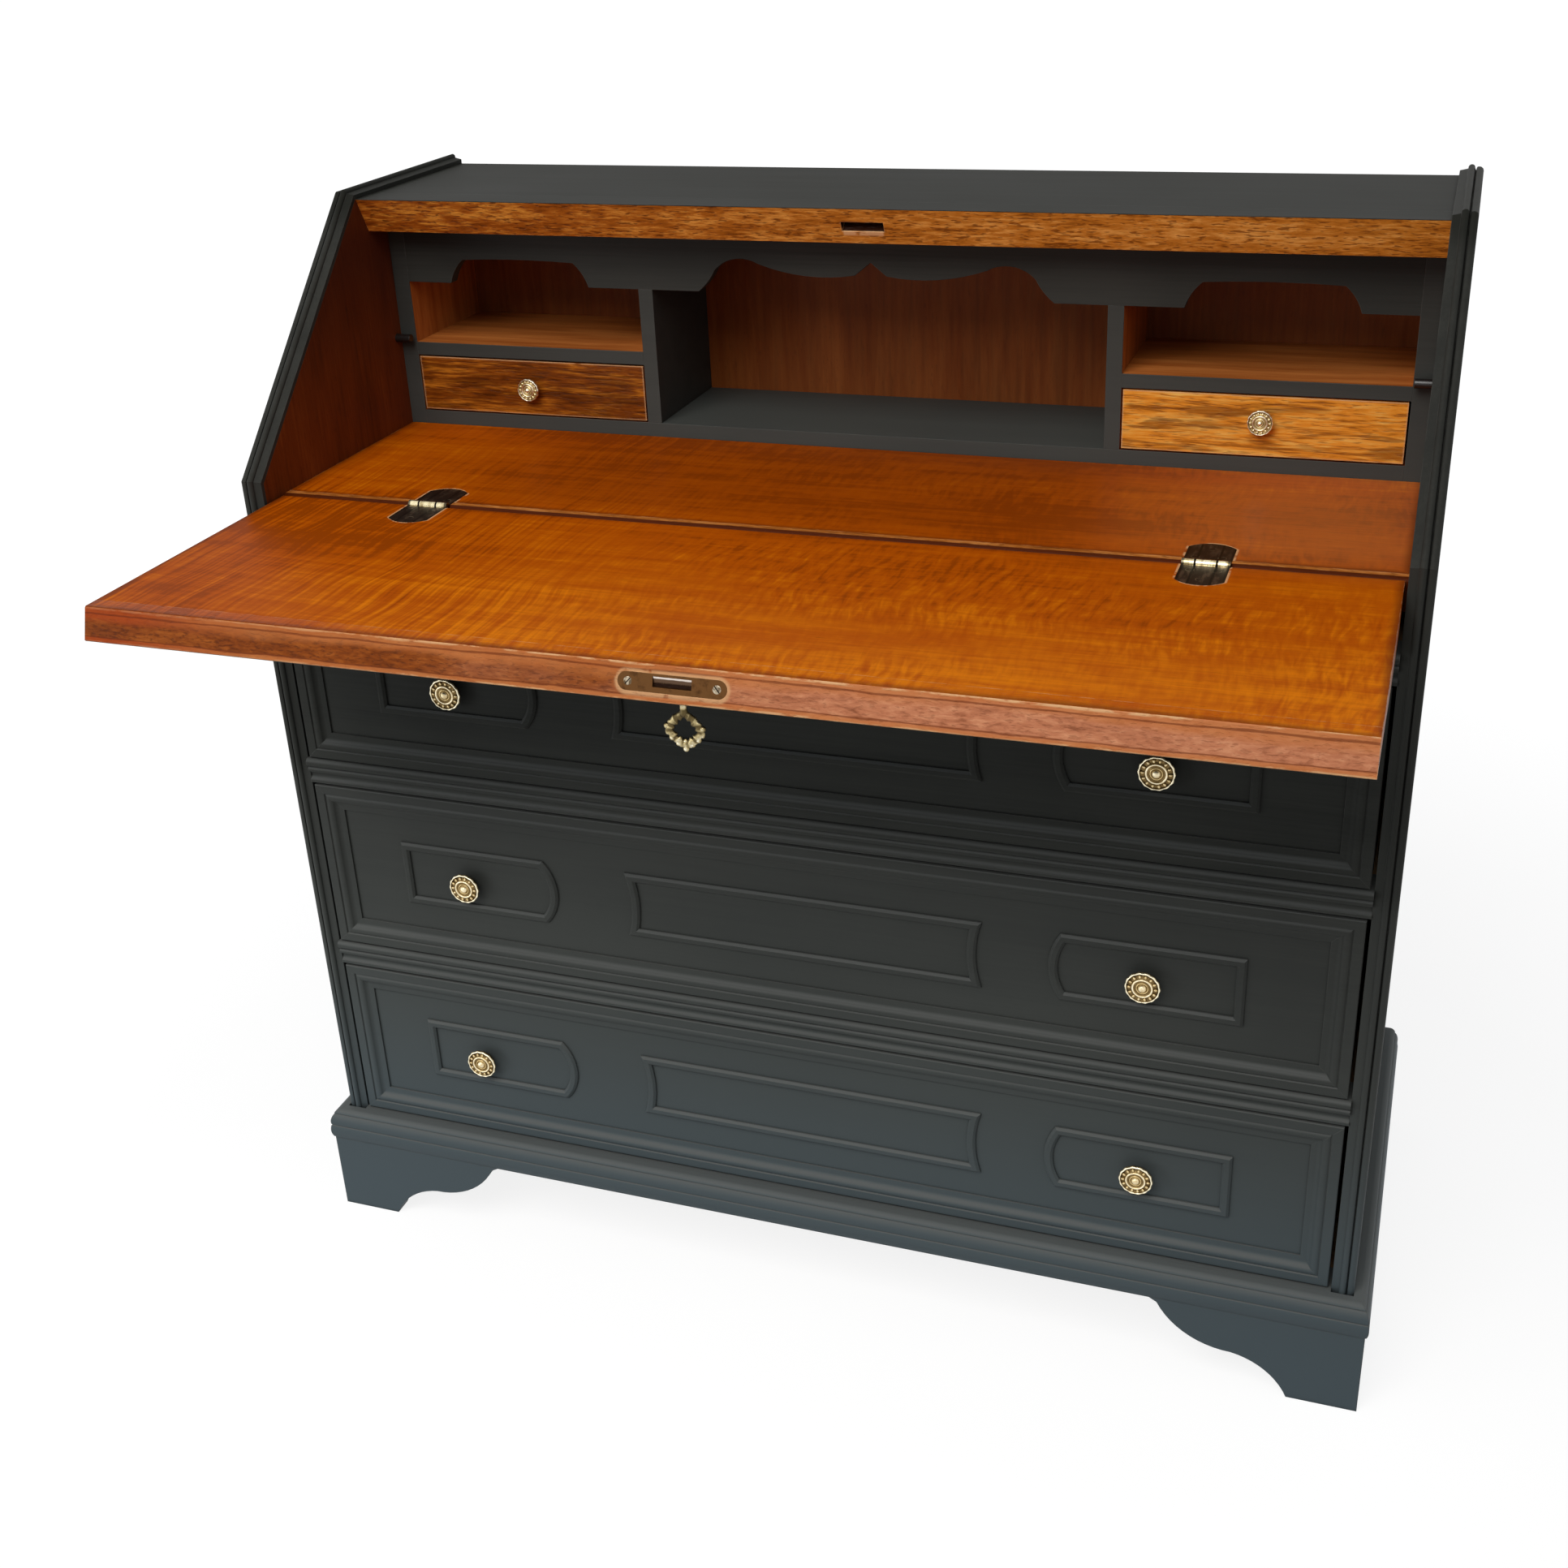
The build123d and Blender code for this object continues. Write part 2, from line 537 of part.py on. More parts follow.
def cartouches(y, middle):
    """Three bead-edged fields planted on a drawer front."""
    low = middle - FIELD_HEIGHT / 2
    high = middle + FIELD_HEIGHT / 2
    a = MID_FIELD_HALF
    centre = outline((-a, low), (a, low), ((a - MID_FIELD_HOLLOW, middle), (a, high)), (-a, high),
                     ((-a + MID_FIELD_HOLLOW, middle), (-a, low)))
    sides = [outline((b, low), (c, low), (c, high), (b, high), ((b - bulge, middle), (b, low)))
             for b, c, bulge in (RIGHT_FIELD, LEFT_FIELD)]
    beads = []
    for face in (centre, sides[0], sides[1]):
        ring = face - offset(face, -FIELD_BEAD_WIDTH, kind=Kind.INTERSECTION)
        bead = along_y(ring, y - FIELD_BEAD_HEIGHT, y)
        front_edges = bead.faces().sort_by(Axis.Y)[0].edges()
        beads.append(chamfer(front_edges, FIELD_BEAD_HEIGHT * 0.55, FIELD_BEAD_WIDTH * 0.26))
    return [beads[0], beads[1], mirrored(beads[2])]


def large_drawer(name, level):
    """One of the three full-width drawers; level counts up from the bottom."""
    floor = DRAWER_FLOOR + level * DRAWER_PITCH
    low = floor + DRAWER_GAP_BOTTOM
    high = floor + DRAWER_OPENING - DRAWER_GAP_TOP
    half = HALF - DRAWER_GAP_SIDE
    y = FRONT + FRONT_SETBACK
    middle = (low + high) / 2
    rear = BACK_FACE - 2 * RUNNING_GAP
    sides, end, panel = drawer_box(0, half, y, FRONT_THICKNESS, floor + RUNNING_GAP, BOX_SIDE,
                                   BOX_SIDE_HEIGHT, BOX_BOTTOM, BOX_BOTTOM_LIFT, rear)
    front = board(-half, half, y, y + FRONT_THICKNESS, low, high) - panel
    knobs = []
    for x in KNOB_PLACES[level]:
        pieces = knob(x, y, middle - KNOB_DROP, KNOB_RADIUS, KNOB_STEM, FRONT_THICKNESS)
        front -= pieces[1]
        knobs += pieces
    corners = [(-half, y, low), (half, y, low), (half, y, high), (-half, y, high)]
    frame = moulding_run(frame_profile(), corners, (0, -1, 0), flat=True, closed=True)
    save(f"{name}_drawer_front", front)
    save(f"{name}_drawer_mouldings", frame, cartouches(y, middle))
    save(f"{name}_drawer_box", sides, end, panel)
    save(f"{name}_drawer_knobs", knobs)


def small_drawer(name, sign):
    """A gallery drawer, on the right for sign 1 and on the left for sign -1."""
    floor = DESK_HEIGHT + GALLERY_FLOOR
    low = floor + SMALL_GAP
    high = SHELF_UNDER - SMALL_GAP
    centre = sign * (BAY_INNER + BAY_OUTER) / 2
    half = (BAY_OUTER - BAY_INNER) / 2 - SMALL_GAP
    rear = GALLERY_Y + GALLERY_LENGTH - GALLERY_BACK - 2 * RUNNING_GAP
    sides, end, panel = drawer_box(centre, half, GALLERY_Y, SMALL_FRONT, floor + RUNNING_GAP, SMALL_BOX_SIDE,
                                   SMALL_BOX_HEIGHT, SMALL_BOX_BOTTOM, SMALL_BOX_LIFT, rear)
    height = (low + high) / 2 + max(0, sign) * SMALL_KNOB_RISE
    pieces = knob(centre, GALLERY_Y, height, SMALL_KNOB_RADIUS, SMALL_KNOB_STEM, SMALL_FRONT)
    front = board(centre - half, centre + half, GALLERY_Y, GALLERY_Y + SMALL_FRONT, low, high) - panel
    save(f"{name}_small_drawer_front", front - pieces[1])
    save(f"{name}_small_drawer_box", sides, end, panel)
    save(f"{name}_small_drawer_knob", pieces)


# ---------------------------------------------------------------- gallery
def valance():
    """Scalloped board across the top of the three bays."""
    low = DESK_HEIGHT + VALANCE_LOW
    high = DESK_HEIGHT + VALANCE_HIGH
    peak = high + 8
    dip = high - 4
    rise = high + 4
    w = BAY_OUTER - BAY_INNER
    right = [(BAY_INNER + 0.21 * w, low), ((BAY_INNER + 0.235 * w, high - 9), (BAY_INNER + 0.27 * w, high)),
             ((BAY_INNER + 0.51 * w, high + 1.5), (BAY_INNER + 0.75 * w, high)),
             ((BAY_INNER + 0.785 * w, high - 9), (BAY_INNER + 0.81 * w, low))]
    d = DIVIDER_INNER
    centre = [(0.78 * d, low), ((0.73 * d, low + 10), (0.70 * d, high - 2)),
              ((0.64 * d, rise + 2), (0.5 * d, rise)), ((0.3 * d, dip - 1), (0.07 * d, dip + 0.5)), (0, peak)]
    half = centre_and_bay(centre, right, low)
    return along_y(half + mirror(half, about=Plane.YZ), GALLERY_Y, GALLERY_Y + VALANCE_THICKNESS)


def centre_and_bay(centre, right, low):
    """Right half of the valance, from the middle of the desk to the end panel."""
    steps = [(0, GALLERY_TOP), (BAY_OUTER, GALLERY_TOP), (BAY_OUTER, low)]
    steps += reversed_path(right)
    steps += [centre[0], *centre[1:]]
    return outline((0, centre[-1][1]), *steps)


def reversed_path(steps):
    """The same steps walked backwards: lines stay lines and arcs keep their middle points."""
    ends = [step[1] if isinstance(step[0], tuple) else step for step in steps]
    back = [ends[-1]]
    for i in range(len(steps) - 1, 0, -1):
        arc = isinstance(steps[i][0], tuple)
        back.append((steps[i][0], ends[i - 1]) if arc else ends[i - 1])
    return back


def gallery():
    y1 = GALLERY_Y + GALLERY_LENGTH
    back = y1 - GALLERY_BACK
    floor = DESK_HEIGHT + GALLERY_FLOOR
    behind = GALLERY_Y + VALANCE_THICKNESS
    end_panel = board(BAY_OUTER, HALF, GALLERY_Y, y1, DESK_HEIGHT, GALLERY_TOP)
    divider = board(DIVIDER_INNER, BAY_INNER, GALLERY_Y, back, floor, GALLERY_TOP)
    divider -= board(DIVIDER_INNER, BAY_INNER, GALLERY_Y, behind, DESK_HEIGHT + VALANCE_LOW, GALLERY_TOP)
    save("gallery_end_panels", both_sides(end_panel))
    save("gallery_dividers", both_sides(divider))
    save("gallery_floor", board(-BAY_OUTER, BAY_OUTER, GALLERY_Y, back, DESK_HEIGHT, floor))
    shelf = board(BAY_INNER, BAY_OUTER, GALLERY_Y, back, SHELF_UNDER, SHELF_UNDER + SHELF_THICKNESS)
    save("gallery_shelves", both_sides(shelf))
    save("gallery_valance", valance())
    save("gallery_back", board(-BAY_OUTER, BAY_OUTER, back, y1, DESK_HEIGHT, GALLERY_TOP))
    save("gallery_pegs", both_sides(peg_rod(PEG_LENGTH)))


# ---------------------------------------------------------------- hinges
def leaf_outline(root):
    """Hinge leaf in (X, distance from the pin), starting at root."""
    w = HINGE_WIDTH / 2
    shoulder = LEAF_LENGTH - LEAF_END_RISE
    return outline((-w, root), (w, root), (w, shoulder), ((0, LEAF_LENGTH), (-w, shoulder)))


def leaf_plate(root, way):
    """Flat leaf under the writing surface, towards the bed (way 1) or the flap (way -1)."""
    face = leaf_outline(root)
    if way < 0:
        face = mirror(face, about=Plane.XZ)
    return Pos(0, 0, -LEAF_THICKNESS) * extrude(face, amount=LEAF_THICKNESS)


def hinge_screws(way):
    """Three countersunk screws through a leaf, as whole solids standing in the wood."""
    screws = []
    for x, y in ((-10.0, 14.0), (10.0, 14.0), (0.0, 33.0)):
        head = Cone(1.6, 3.4, 2.0, align=(Align.CENTER, Align.CENTER, Align.MAX))
        shank = Cylinder(1.6, 12.0, align=(Align.CENTER, Align.CENTER, Align.MAX))
        screws.append(Pos(x, way * y, -0.1) * (head + Pos(0, 0, -2.0) * shank))
    return screws


def hinge_leaf(way):
    """One leaf with its knuckles, pin along X at the origin."""
    free = BARREL_RADIUS + KNUCKLE_GAP + 0.1
    bore = PIN_RADIUS if way > 0 else PIN_RADIUS + PIN_CLEARANCE
    half = HINGE_WIDTH / 2
    inner = KNUCKLE_LENGTH / 2
    if way > 0:
        spans = [(-half, -inner - KNUCKLE_GAP), (inner + KNUCKLE_GAP, half)]
    else:
        spans = [(-inner, inner)]
    leaf = leaf_plate(free, way)
    for x0, x1 in spans:
        strap = board(x0, x1, min(0, way * free), max(0, way * free), -LEAF_THICKNESS, 0)
        leaf += strap + rod(BARREL_RADIUS, (x0, 0, 0), (x1, 0, 0))
    leaf -= rod(bore, (-half, 0, 0), (half, 0, 0))
    for screw in hinge_screws(way):
        leaf -= screw
    return leaf


def at_hinge(piece, sign):
    return Pos(sign * HINGE_SPACING, HINGE_Y, DESK_HEIGHT) * piece


def hinge_pocket(way):
    """What is cut from the wood for a leaf, the barrel and the screws."""
    half = HINGE_WIDTH / 2
    pocket = leaf_plate(0.0, way)
    barrel = rod(BARREL_RADIUS + 0.6, (-half - 0.5, 0, 0), (half + 0.5, 0, 0))
    return [pocket, barrel] + hinge_screws(way)


def bed_hinge_cuts():
    return [at_hinge(cut, sign) for sign in (-1, 1) for cut in hinge_pocket(1)]


def flap_hinge_cuts():
    return [at_hinge(cut, sign) for sign in (-1, 1) for cut in hinge_pocket(-1)]


def hinges():
    pin = rod(PIN_RADIUS, (-HINGE_WIDTH / 2, 0, 0), (HINGE_WIDTH / 2, 0, 0))
    save("hinge_bed_leaves", [at_hinge(hinge_leaf(1), sign) for sign in (-1, 1)])
    save("hinge_flap_leaves", [at_hinge(hinge_leaf(-1), sign) for sign in (-1, 1)])
    save("hinge_pins", [at_hinge(pin, sign) for sign in (-1, 1)])
    save("hinge_bed_screws", [at_hinge(screw, sign) for sign in (-1, 1) for screw in hinge_screws(1)])
    leaf_screws = [at_hinge(screw, sign) for sign in (-1, 1) for screw in hinge_screws(-1)]
    save("flap_screws", leaf_screws, plate_screws())


# ---------------------------------------------------------------- flap and lock
CASE_TOP = DESK_HEIGHT - CASE_DROP
CASE_UNDER = CASE_TOP - CASE_HEIGHT
KEY_Y = flap_face_y(DESK_HEIGHT - FLAP_THICKNESS / 2) + KEY_SETBACK
BOLT_Z = DESK_HEIGHT - BOLT_DROP
BOLT_TIP = flap_face_y(BOLT_Z + BOLT_THICKNESS / 2) + BOLT_CLEARANCE


def plate_frame():
    """Plane on the flap's slanted edge: X along the desk, Y up the slant, Z out of it."""
    z = DESK_HEIGHT - FLAP_THICKNESS / 2
    return Plane(origin=(LOCK_X, flap_face_y(z), z), x_dir=(1, 0, 0), z_dir=(0, -cos(SLANT), sin(SLANT)))


def plate_blank(height=PLATE_HEIGHT):
    """Round-ended face plate, let in flush with the edge."""
    return plate_frame() * extrude(SlotOverall(PLATE_LENGTH, height), amount=-PLATE_THICKNESS)


def plate_screws():
    screws = []
    for x in (-PLATE_SCREWS, PLATE_SCREWS):
        head = Cone(1.5, 3.0, 1.8, align=(Align.CENTER, Align.CENTER, Align.MAX))
        shank = Cylinder(1.5, 12.0, align=(Align.CENTER, Align.CENTER, Align.MAX))
        screws.append(plate_frame() * Pos(x, 0, 0) * (head + Pos(0, 0, -1.8) * shank))
    return screws


def lock_case_blank():
    """The whole case as cut out of the flap."""
    front = flap_face_y(CASE_TOP) + PLATE_THICKNESS + CASE_GAP
    half = CASE_LENGTH / 2
    return board(LOCK_X - half, LOCK_X + half, front, KEY_Y + CASE_BACK, CASE_UNDER, CASE_TOP)


def bolt_blade(clearance=0.0, extra=0.0):
    """The blade of the bolt at rest; with clearance and extra, the room it slides in."""
    half = BOLT_WIDTH / 2 + clearance
    rise = BOLT_THICKNESS / 2 + clearance
    return board(LOCK_X - half, LOCK_X + half, BOLT_TIP - extra, BOLT_TIP + BOLT_LENGTH + clearance,
                 BOLT_Z - rise, BOLT_Z + rise)


def lock_bolt():
    """The blade with two lugs below it, before and behind the key's bit."""
    low = CASE_UNDER + CASE_WALL + 0.4
    high = BOLT_Z
    thrown = LOCK_X + 2.6
    drawn = LOCK_X + 3.6
    before = board(thrown, thrown + 3.4, KEY_Y - 2.4 - TALON_WIDTH, KEY_Y - 2.4, low, high)
    behind = board(drawn, drawn + 3, KEY_Y + 1.4, KEY_Y + 1.4 + TALON_WIDTH, low, high)
    return bolt_blade() + before + behind


def lock_case():
    blank = lock_case_blank()
    box = blank.bounding_box()
    w = CASE_WALL
    hollow = board(box.min.X + w, box.max.X - w, box.min.Y + w, box.max.Y - w, box.min.Z + w, box.max.Z - w)
    hole = keyhole(box.min.Z - 1, box.min.Z + w + 1, KEY_SHANK_RADIUS + KEY_CLEARANCE)
    return blank - hollow - hole - bolt_blade(BOLT_CLEARANCE, 2 * BOLT_THROW)


def keyhole(z0, z1, radius):
    """Round hole with a slot on the right, for the key's bit."""
    w = KEY_BIT_THICKNESS / 2 + 0.2
    slot = board(LOCK_X, LOCK_X + KEY_BIT_REACH + 0.4, KEY_Y - w, KEY_Y + w, z0, z1)
    return rod(radius, (LOCK_X, KEY_Y, z0), (LOCK_X, KEY_Y, z1)) + slot


def flap():
    rear = HINGE_Y - HINGE_GAP
    joint = flap_face_y(DESK_HEIGHT) + LIPPING_WIDTH
    r = 2.5
    bend = r * (1 - cos(radians(45)))
    main = outline((joint, FLAP_UNDER), (joint, DESK_HEIGHT), (rear - r, DESK_HEIGHT),
                   ((rear - bend, DESK_HEIGHT - bend), (rear, DESK_HEIGHT - r)), (rear, FLAP_UNDER))
    lip = outline((joint, DESK_HEIGHT), (flap_face_y(DESK_HEIGHT - 1.2) + 1.6, DESK_HEIGHT),
                  ((flap_face_y(DESK_HEIGHT - 0.5) + 0.45, DESK_HEIGHT - 0.35),
                   (flap_face_y(DESK_HEIGHT - 1.8), DESK_HEIGHT - 1.8)),
                  (flap_face_y(FLAP_UNDER + LIP_EASE), FLAP_UNDER + LIP_EASE),
                  (flap_face_y(FLAP_UNDER) + 1.4 * LIP_EASE, FLAP_UNDER),
                  (joint, FLAP_UNDER))
    panel = along_x(main, -FLAP_HALF, FLAP_HALF)
    lipping = along_x(lip, -FLAP_HALF, FLAP_HALF)
    well = keyhole(FLAP_UNDER - 1, CASE_UNDER, KEY_SHANK_RADIUS + 0.4)
    room = bolt_blade(BOLT_CLEARANCE, 2 * BOLT_THROW)
    cuts = [lock_case_blank(), well, plate_blank(), room] + plate_screws()
    for cut in cuts:
        lipping -= cut
        panel -= cut
    for cut in flap_hinge_cuts():
        panel -= cut
    plate = plate_blank() - room - Pos(0, 0, -WINDOW_DROP) * room
    for screw in plate_screws():
        plate -= screw
    save("flap_panel", panel)
    save("flap_front_lipping", lipping)
    save("lock_case", lock_case() - plate_blank())
    save("lock_face_plate", plate)
    save("lock_bolt", lock_bolt())
    low = FLAP_UNDER - ESCUTCHEON_THICKNESS
    disc = rod(ESCUTCHEON_RADIUS, (LOCK_X, KEY_Y, low), (LOCK_X, KEY_Y, FLAP_UNDER))
    save("key_escutcheon", disc - keyhole(FLAP_UNDER - 2, FLAP_UNDER + 1, KEY_SHANK_RADIUS + 0.4))
    save("key", key())


def key():
    """Key hanging from the flap: pierced lozenge bow, collar, shank and bit."""
    low = FLAP_UNDER - KEY_DROP
    half = KEY_BOW_WIDTH / 2
    middle = low + half
    bow = outline((0, middle - half), ((0.62 * half, middle - 0.55 * half), (half, middle)),
                  ((0.55 * half, middle + 0.6 * half), (0, middle + half)),
                  ((-0.55 * half, middle + 0.6 * half), (-half, middle)),
                  ((-0.62 * half, middle - 0.55 * half), (0, middle - half)))
    h = 0.45 * half
    hole = outline((0, middle - h), ((0.8 * h, middle - 0.6 * h), (h, middle)), (0, middle + 1.2 * h),
                   (-h, middle), ((-0.8 * h, middle - 0.6 * h), (0, middle - h)))
    ring = along_y(bow - hole, -KEY_THICKNESS / 2, KEY_THICKNESS / 2)
    top = BOLT_Z - BOLT_THICKNESS / 2 - 0.3
    shank = rod(KEY_SHANK_RADIUS, (0, 0, middle + 0.75 * half), (0, 0, top))
    collar = rod(1.7 * KEY_SHANK_RADIUS, (0, 0, FLAP_UNDER - 7), (0, 0, FLAP_UNDER - 3.5))
    bit_low = CASE_UNDER + CASE_WALL + 0.4
    w = KEY_BIT_THICKNESS / 2
    bit = board(0, KEY_BIT_REACH, -w, w, bit_low, bit_low + KEY_BIT_HEIGHT)
    return Pos(LOCK_X, KEY_Y, 0) * (ring + shank + collar + bit)


# ---------------------------------------------------------------- lopers
def loper():
    """Right-hand slide, pulled out under the open flap, with a small brass pull."""
    x1 = HALF - LOPER_SIDE_GAP
    x0 = x1 - LOPER_WIDTH
    y0 = FRONT + FRONT_SETBACK - LOPER_OUT
    low = RAIL_TOP + RUNNING_GAP
    high = FLAP_UNDER - RUNNING_GAP
    slide = board(x0, x1, y0, y0 + LOPER_LENGTH, low, high)
    x, z = (x0 + x1) / 2, (low + high) / 2
    pull = facing_front(x, y0, z) * turned_knob(LOPER_KNOB_RADIUS, 9.0)
    pull += rod(1.2, (x, y0 - 3, z), (x, y0 + 10, z))
    return [slide - pull, pull]


def lopers():
    right = loper()
    save("loper_right", right)
    save("loper_left", [mirrored(piece) for piece in right])
    x1 = HALF - LOPER_SIDE_GAP - LOPER_WIDTH - RUNNING_GAP
    guide = board(x1 - GUIDE_WIDTH, x1, HINGE_Y + HINGE_GAP, BACK_FACE, RAIL_TOP, BED_UNDER)
    save("loper_guides", both_sides(guide))


# ---------------------------------------------------------------- the whole desk
os.makedirs("parts", exist_ok=True)
carcass()
base()
large_drawer("lower", 0)
large_drawer("middle", 1)
large_drawer("upper", 2)
gallery()
small_drawer("left", -1)
small_drawer("right", 1)
hinges()
flap()
lopers()
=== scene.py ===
# %% [markdown]
# # A slant-front secretary desk
# The desk is a chest of three drawers under a flap that opens into a writing surface, with a small
# gallery of pigeon-holes behind it. The carcass is painted charcoal, and the flap, the bed behind it
# and the small drawers keep their amber varnish.
# The joinery is already modelled to size, so this file loads it as a fixed frame and works on what
# the eye adds: the camera, the light, the finishes and the small brass castings.

# %% Load the frame
from math import atan2, cos, pi, radians, sin, tan

import bmesh
import bpy
from mathutils import Matrix, Vector


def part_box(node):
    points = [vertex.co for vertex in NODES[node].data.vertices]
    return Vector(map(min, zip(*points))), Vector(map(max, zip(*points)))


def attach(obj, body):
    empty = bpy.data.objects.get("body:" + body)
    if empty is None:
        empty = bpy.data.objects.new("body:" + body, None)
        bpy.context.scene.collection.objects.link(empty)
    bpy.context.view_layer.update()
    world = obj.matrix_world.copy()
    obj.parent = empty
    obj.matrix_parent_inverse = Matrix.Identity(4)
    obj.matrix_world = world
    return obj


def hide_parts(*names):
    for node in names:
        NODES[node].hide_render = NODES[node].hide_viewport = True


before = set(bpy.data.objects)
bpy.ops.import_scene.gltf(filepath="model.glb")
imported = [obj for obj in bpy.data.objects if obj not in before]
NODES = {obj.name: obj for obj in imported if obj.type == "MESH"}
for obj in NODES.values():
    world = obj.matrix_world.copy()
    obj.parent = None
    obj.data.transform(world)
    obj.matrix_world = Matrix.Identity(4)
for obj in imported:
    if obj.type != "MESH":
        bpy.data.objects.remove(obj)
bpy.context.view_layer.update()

# %% [markdown]
# ## The camera
# A phone held at head height, a little to the right of the desk's middle, looks down on the open
# flap. Height and turn are typed as numbers, because they belong to the view and not to the desk.
# A small shift places the desk in the picture without turning the camera, which keeps the uprights
# leaning as they do for a visitor who stands there.

# %% Camera
camera_data = bpy.data.cameras.new("visitor_view")
camera = bpy.data.objects.new("visitor_view", camera_data)
bpy.context.scene.collection.objects.link(camera)
camera.location = (0.4861, -1.3890, 1.2431)
camera.rotation_euler = (radians(63.842), radians(2.345), radians(19.042))
camera_data.sensor_width = 36.0
camera_data.lens = 43.17
camera_data.shift_x = -0.0070
camera_data.shift_y = -0.0142
camera_data.clip_end = 200.0
bpy.context.scene.camera = camera
print("camera", tuple(round(v, 3) for v in camera.location), "lens", camera_data.lens)

# %% [markdown]
# ## Floor, background and light
# The desk stands in a plain white studio. One large soft lamp over the front works as a window would:
# it lights the flap and throws the flap's shadow on the drawers. Two weaker lamps and the sky fill in.
# The background is white because the rays that only look at it find white; the light that falls on the
# wood comes from the lamps, at a level where a colour shows about as it is mixed.

# %% Floor, world and lamps
WHITE = (1.0, 1.0, 1.0, 1.0)
bpy.context.scene.view_settings.view_transform = "Standard"


def seen_directly(tree):
    """1 for a ray that looks at the background, in the open or by reflection, and 0 for light."""
    path = tree.nodes.new("ShaderNodeLightPath")
    total = path.outputs["Is Camera Ray"]
    for other in ("Is Glossy Ray", "Is Transmission Ray"):
        step = tree.nodes.new("ShaderNodeMath")
        step.operation = "MAXIMUM"
        tree.links.new(total, step.inputs[0])
        tree.links.new(path.outputs[other], step.inputs[1])
        total = step.outputs[0]
    return total


def studio_world(sky):
    world = bpy.data.worlds.new("studio")
    world.use_nodes = True
    tree = world.node_tree
    tree.nodes.clear()
    looked_at = tree.nodes.new("ShaderNodeBackground")
    looked_at.inputs["Color"].default_value = WHITE
    lighting = tree.nodes.new("ShaderNodeBackground")
    lighting.inputs["Color"].default_value = (0.94, 0.97, 1.0, 1.0)
    lighting.inputs["Strength"].default_value = sky
    mix = tree.nodes.new("ShaderNodeMixShader")
    out = tree.nodes.new("ShaderNodeOutputWorld")
    tree.links.new(seen_directly(tree), mix.inputs["Fac"])
    tree.links.new(lighting.outputs[0], mix.inputs[1])
    tree.links.new(looked_at.outputs[0], mix.inputs[2])
    tree.links.new(mix.outputs[0], out.inputs["Surface"])
    bpy.context.scene.world = world


def studio_floor(size, shade, glow):
    """A wide pale floor: white when looked at, with a faint shadow where it lies near the desk."""
    bm = bmesh.new()
    bmesh.ops.create_grid(bm, x_segments=1, y_segments=1, size=size)
    mesh = bpy.data.meshes.new("studio_floor")
    bm.to_mesh(mesh)
    bm.free()
    floor = bpy.data.objects.new("studio_floor", mesh)
    bpy.context.scene.collection.objects.link(floor)
    material = bpy.data.materials.new("studio_floor")
    material.use_nodes = True
    tree = material.node_tree
    tree.nodes.clear()
    carpet = tree.nodes.new("ShaderNodeBsdfDiffuse")
    carpet.inputs["Color"].default_value = (0.45, 0.45, 0.46, 1.0)
    shaded = tree.nodes.new("ShaderNodeBsdfDiffuse")
    shaded.inputs["Color"].default_value = (shade, shade, shade, 1.0)
    glowing = tree.nodes.new("ShaderNodeEmission")
    place = tree.nodes.new("ShaderNodeTexCoord")
    away = tree.nodes.new("ShaderNodeVectorMath")
    away.operation = "LENGTH"
    rise = tree.nodes.new("ShaderNodeMapRange")
    rise.inputs["From Min"].default_value = 0.8
    rise.inputs["From Max"].default_value = 2.4
    rise.inputs["To Min"].default_value = glow
    tree.links.new(place.outputs["Object"], away.inputs[0])
    tree.links.new(away.outputs["Value"], rise.inputs["Value"])
    tree.links.new(rise.outputs["Result"], glowing.inputs["Strength"])
    both = tree.nodes.new("ShaderNodeAddShader")
    mix = tree.nodes.new("ShaderNodeMixShader")
    out = tree.nodes.new("ShaderNodeOutputMaterial")
    tree.links.new(shaded.outputs[0], both.inputs[0])
    tree.links.new(glowing.outputs[0], both.inputs[1])
    tree.links.new(seen_directly(tree), mix.inputs["Fac"])
    tree.links.new(carpet.outputs[0], mix.inputs[1])
    tree.links.new(both.outputs[0], mix.inputs[2])
    tree.links.new(mix.outputs[0], out.inputs["Surface"])
    mesh.materials.append(material)


def soft_lamp(name, place, aim, width, watts, color):
    data = bpy.data.lights.new(name, "AREA")
    data.shape = "SQUARE"
    data.size = width
    data.energy = watts
    data.color = color
    lamp = bpy.data.objects.new(name, data)
    bpy.context.scene.collection.objects.link(lamp)
    lamp.location = place
    lamp.rotation_euler = (Vector(aim) - Vector(place)).to_track_quat("-Z", "Y").to_euler()
    lamp.visible_camera = False
    return lamp


studio_world(0.205)
studio_floor(40.0, 0.26, 0.85)
soft_lamp("window", (-0.3, -1.9, 2.9), (0, 0, 0.7), 1.9, 60, (1.0, 0.985, 0.96))
soft_lamp("low_fill", (-2.2, -1.8, 0.5), (0, 0, 0.2), 1.2, 14, (0.88, 0.94, 1.0))
soft_lamp("right_fill", (2.6, -0.6, 1.7), (0, 0, 0.5), 1.6, 4.5, (0.95, 0.97, 1.0))

# %% [markdown]
# ## Tools for mixing finishes
# Every finish is worked out by nodes from a point's place on the desk, so grain runs through a board as
# it does in wood, and no picture is wrapped round it. A small class keeps the node tree short to read:
# it hands out the coordinates, streaky noise, masks and mixes. A "look" is three things together: a
# color, a roughness and a height for the bump. Two looks can be joined by a mask, as where paint stops
# at the edge of a stained panel.

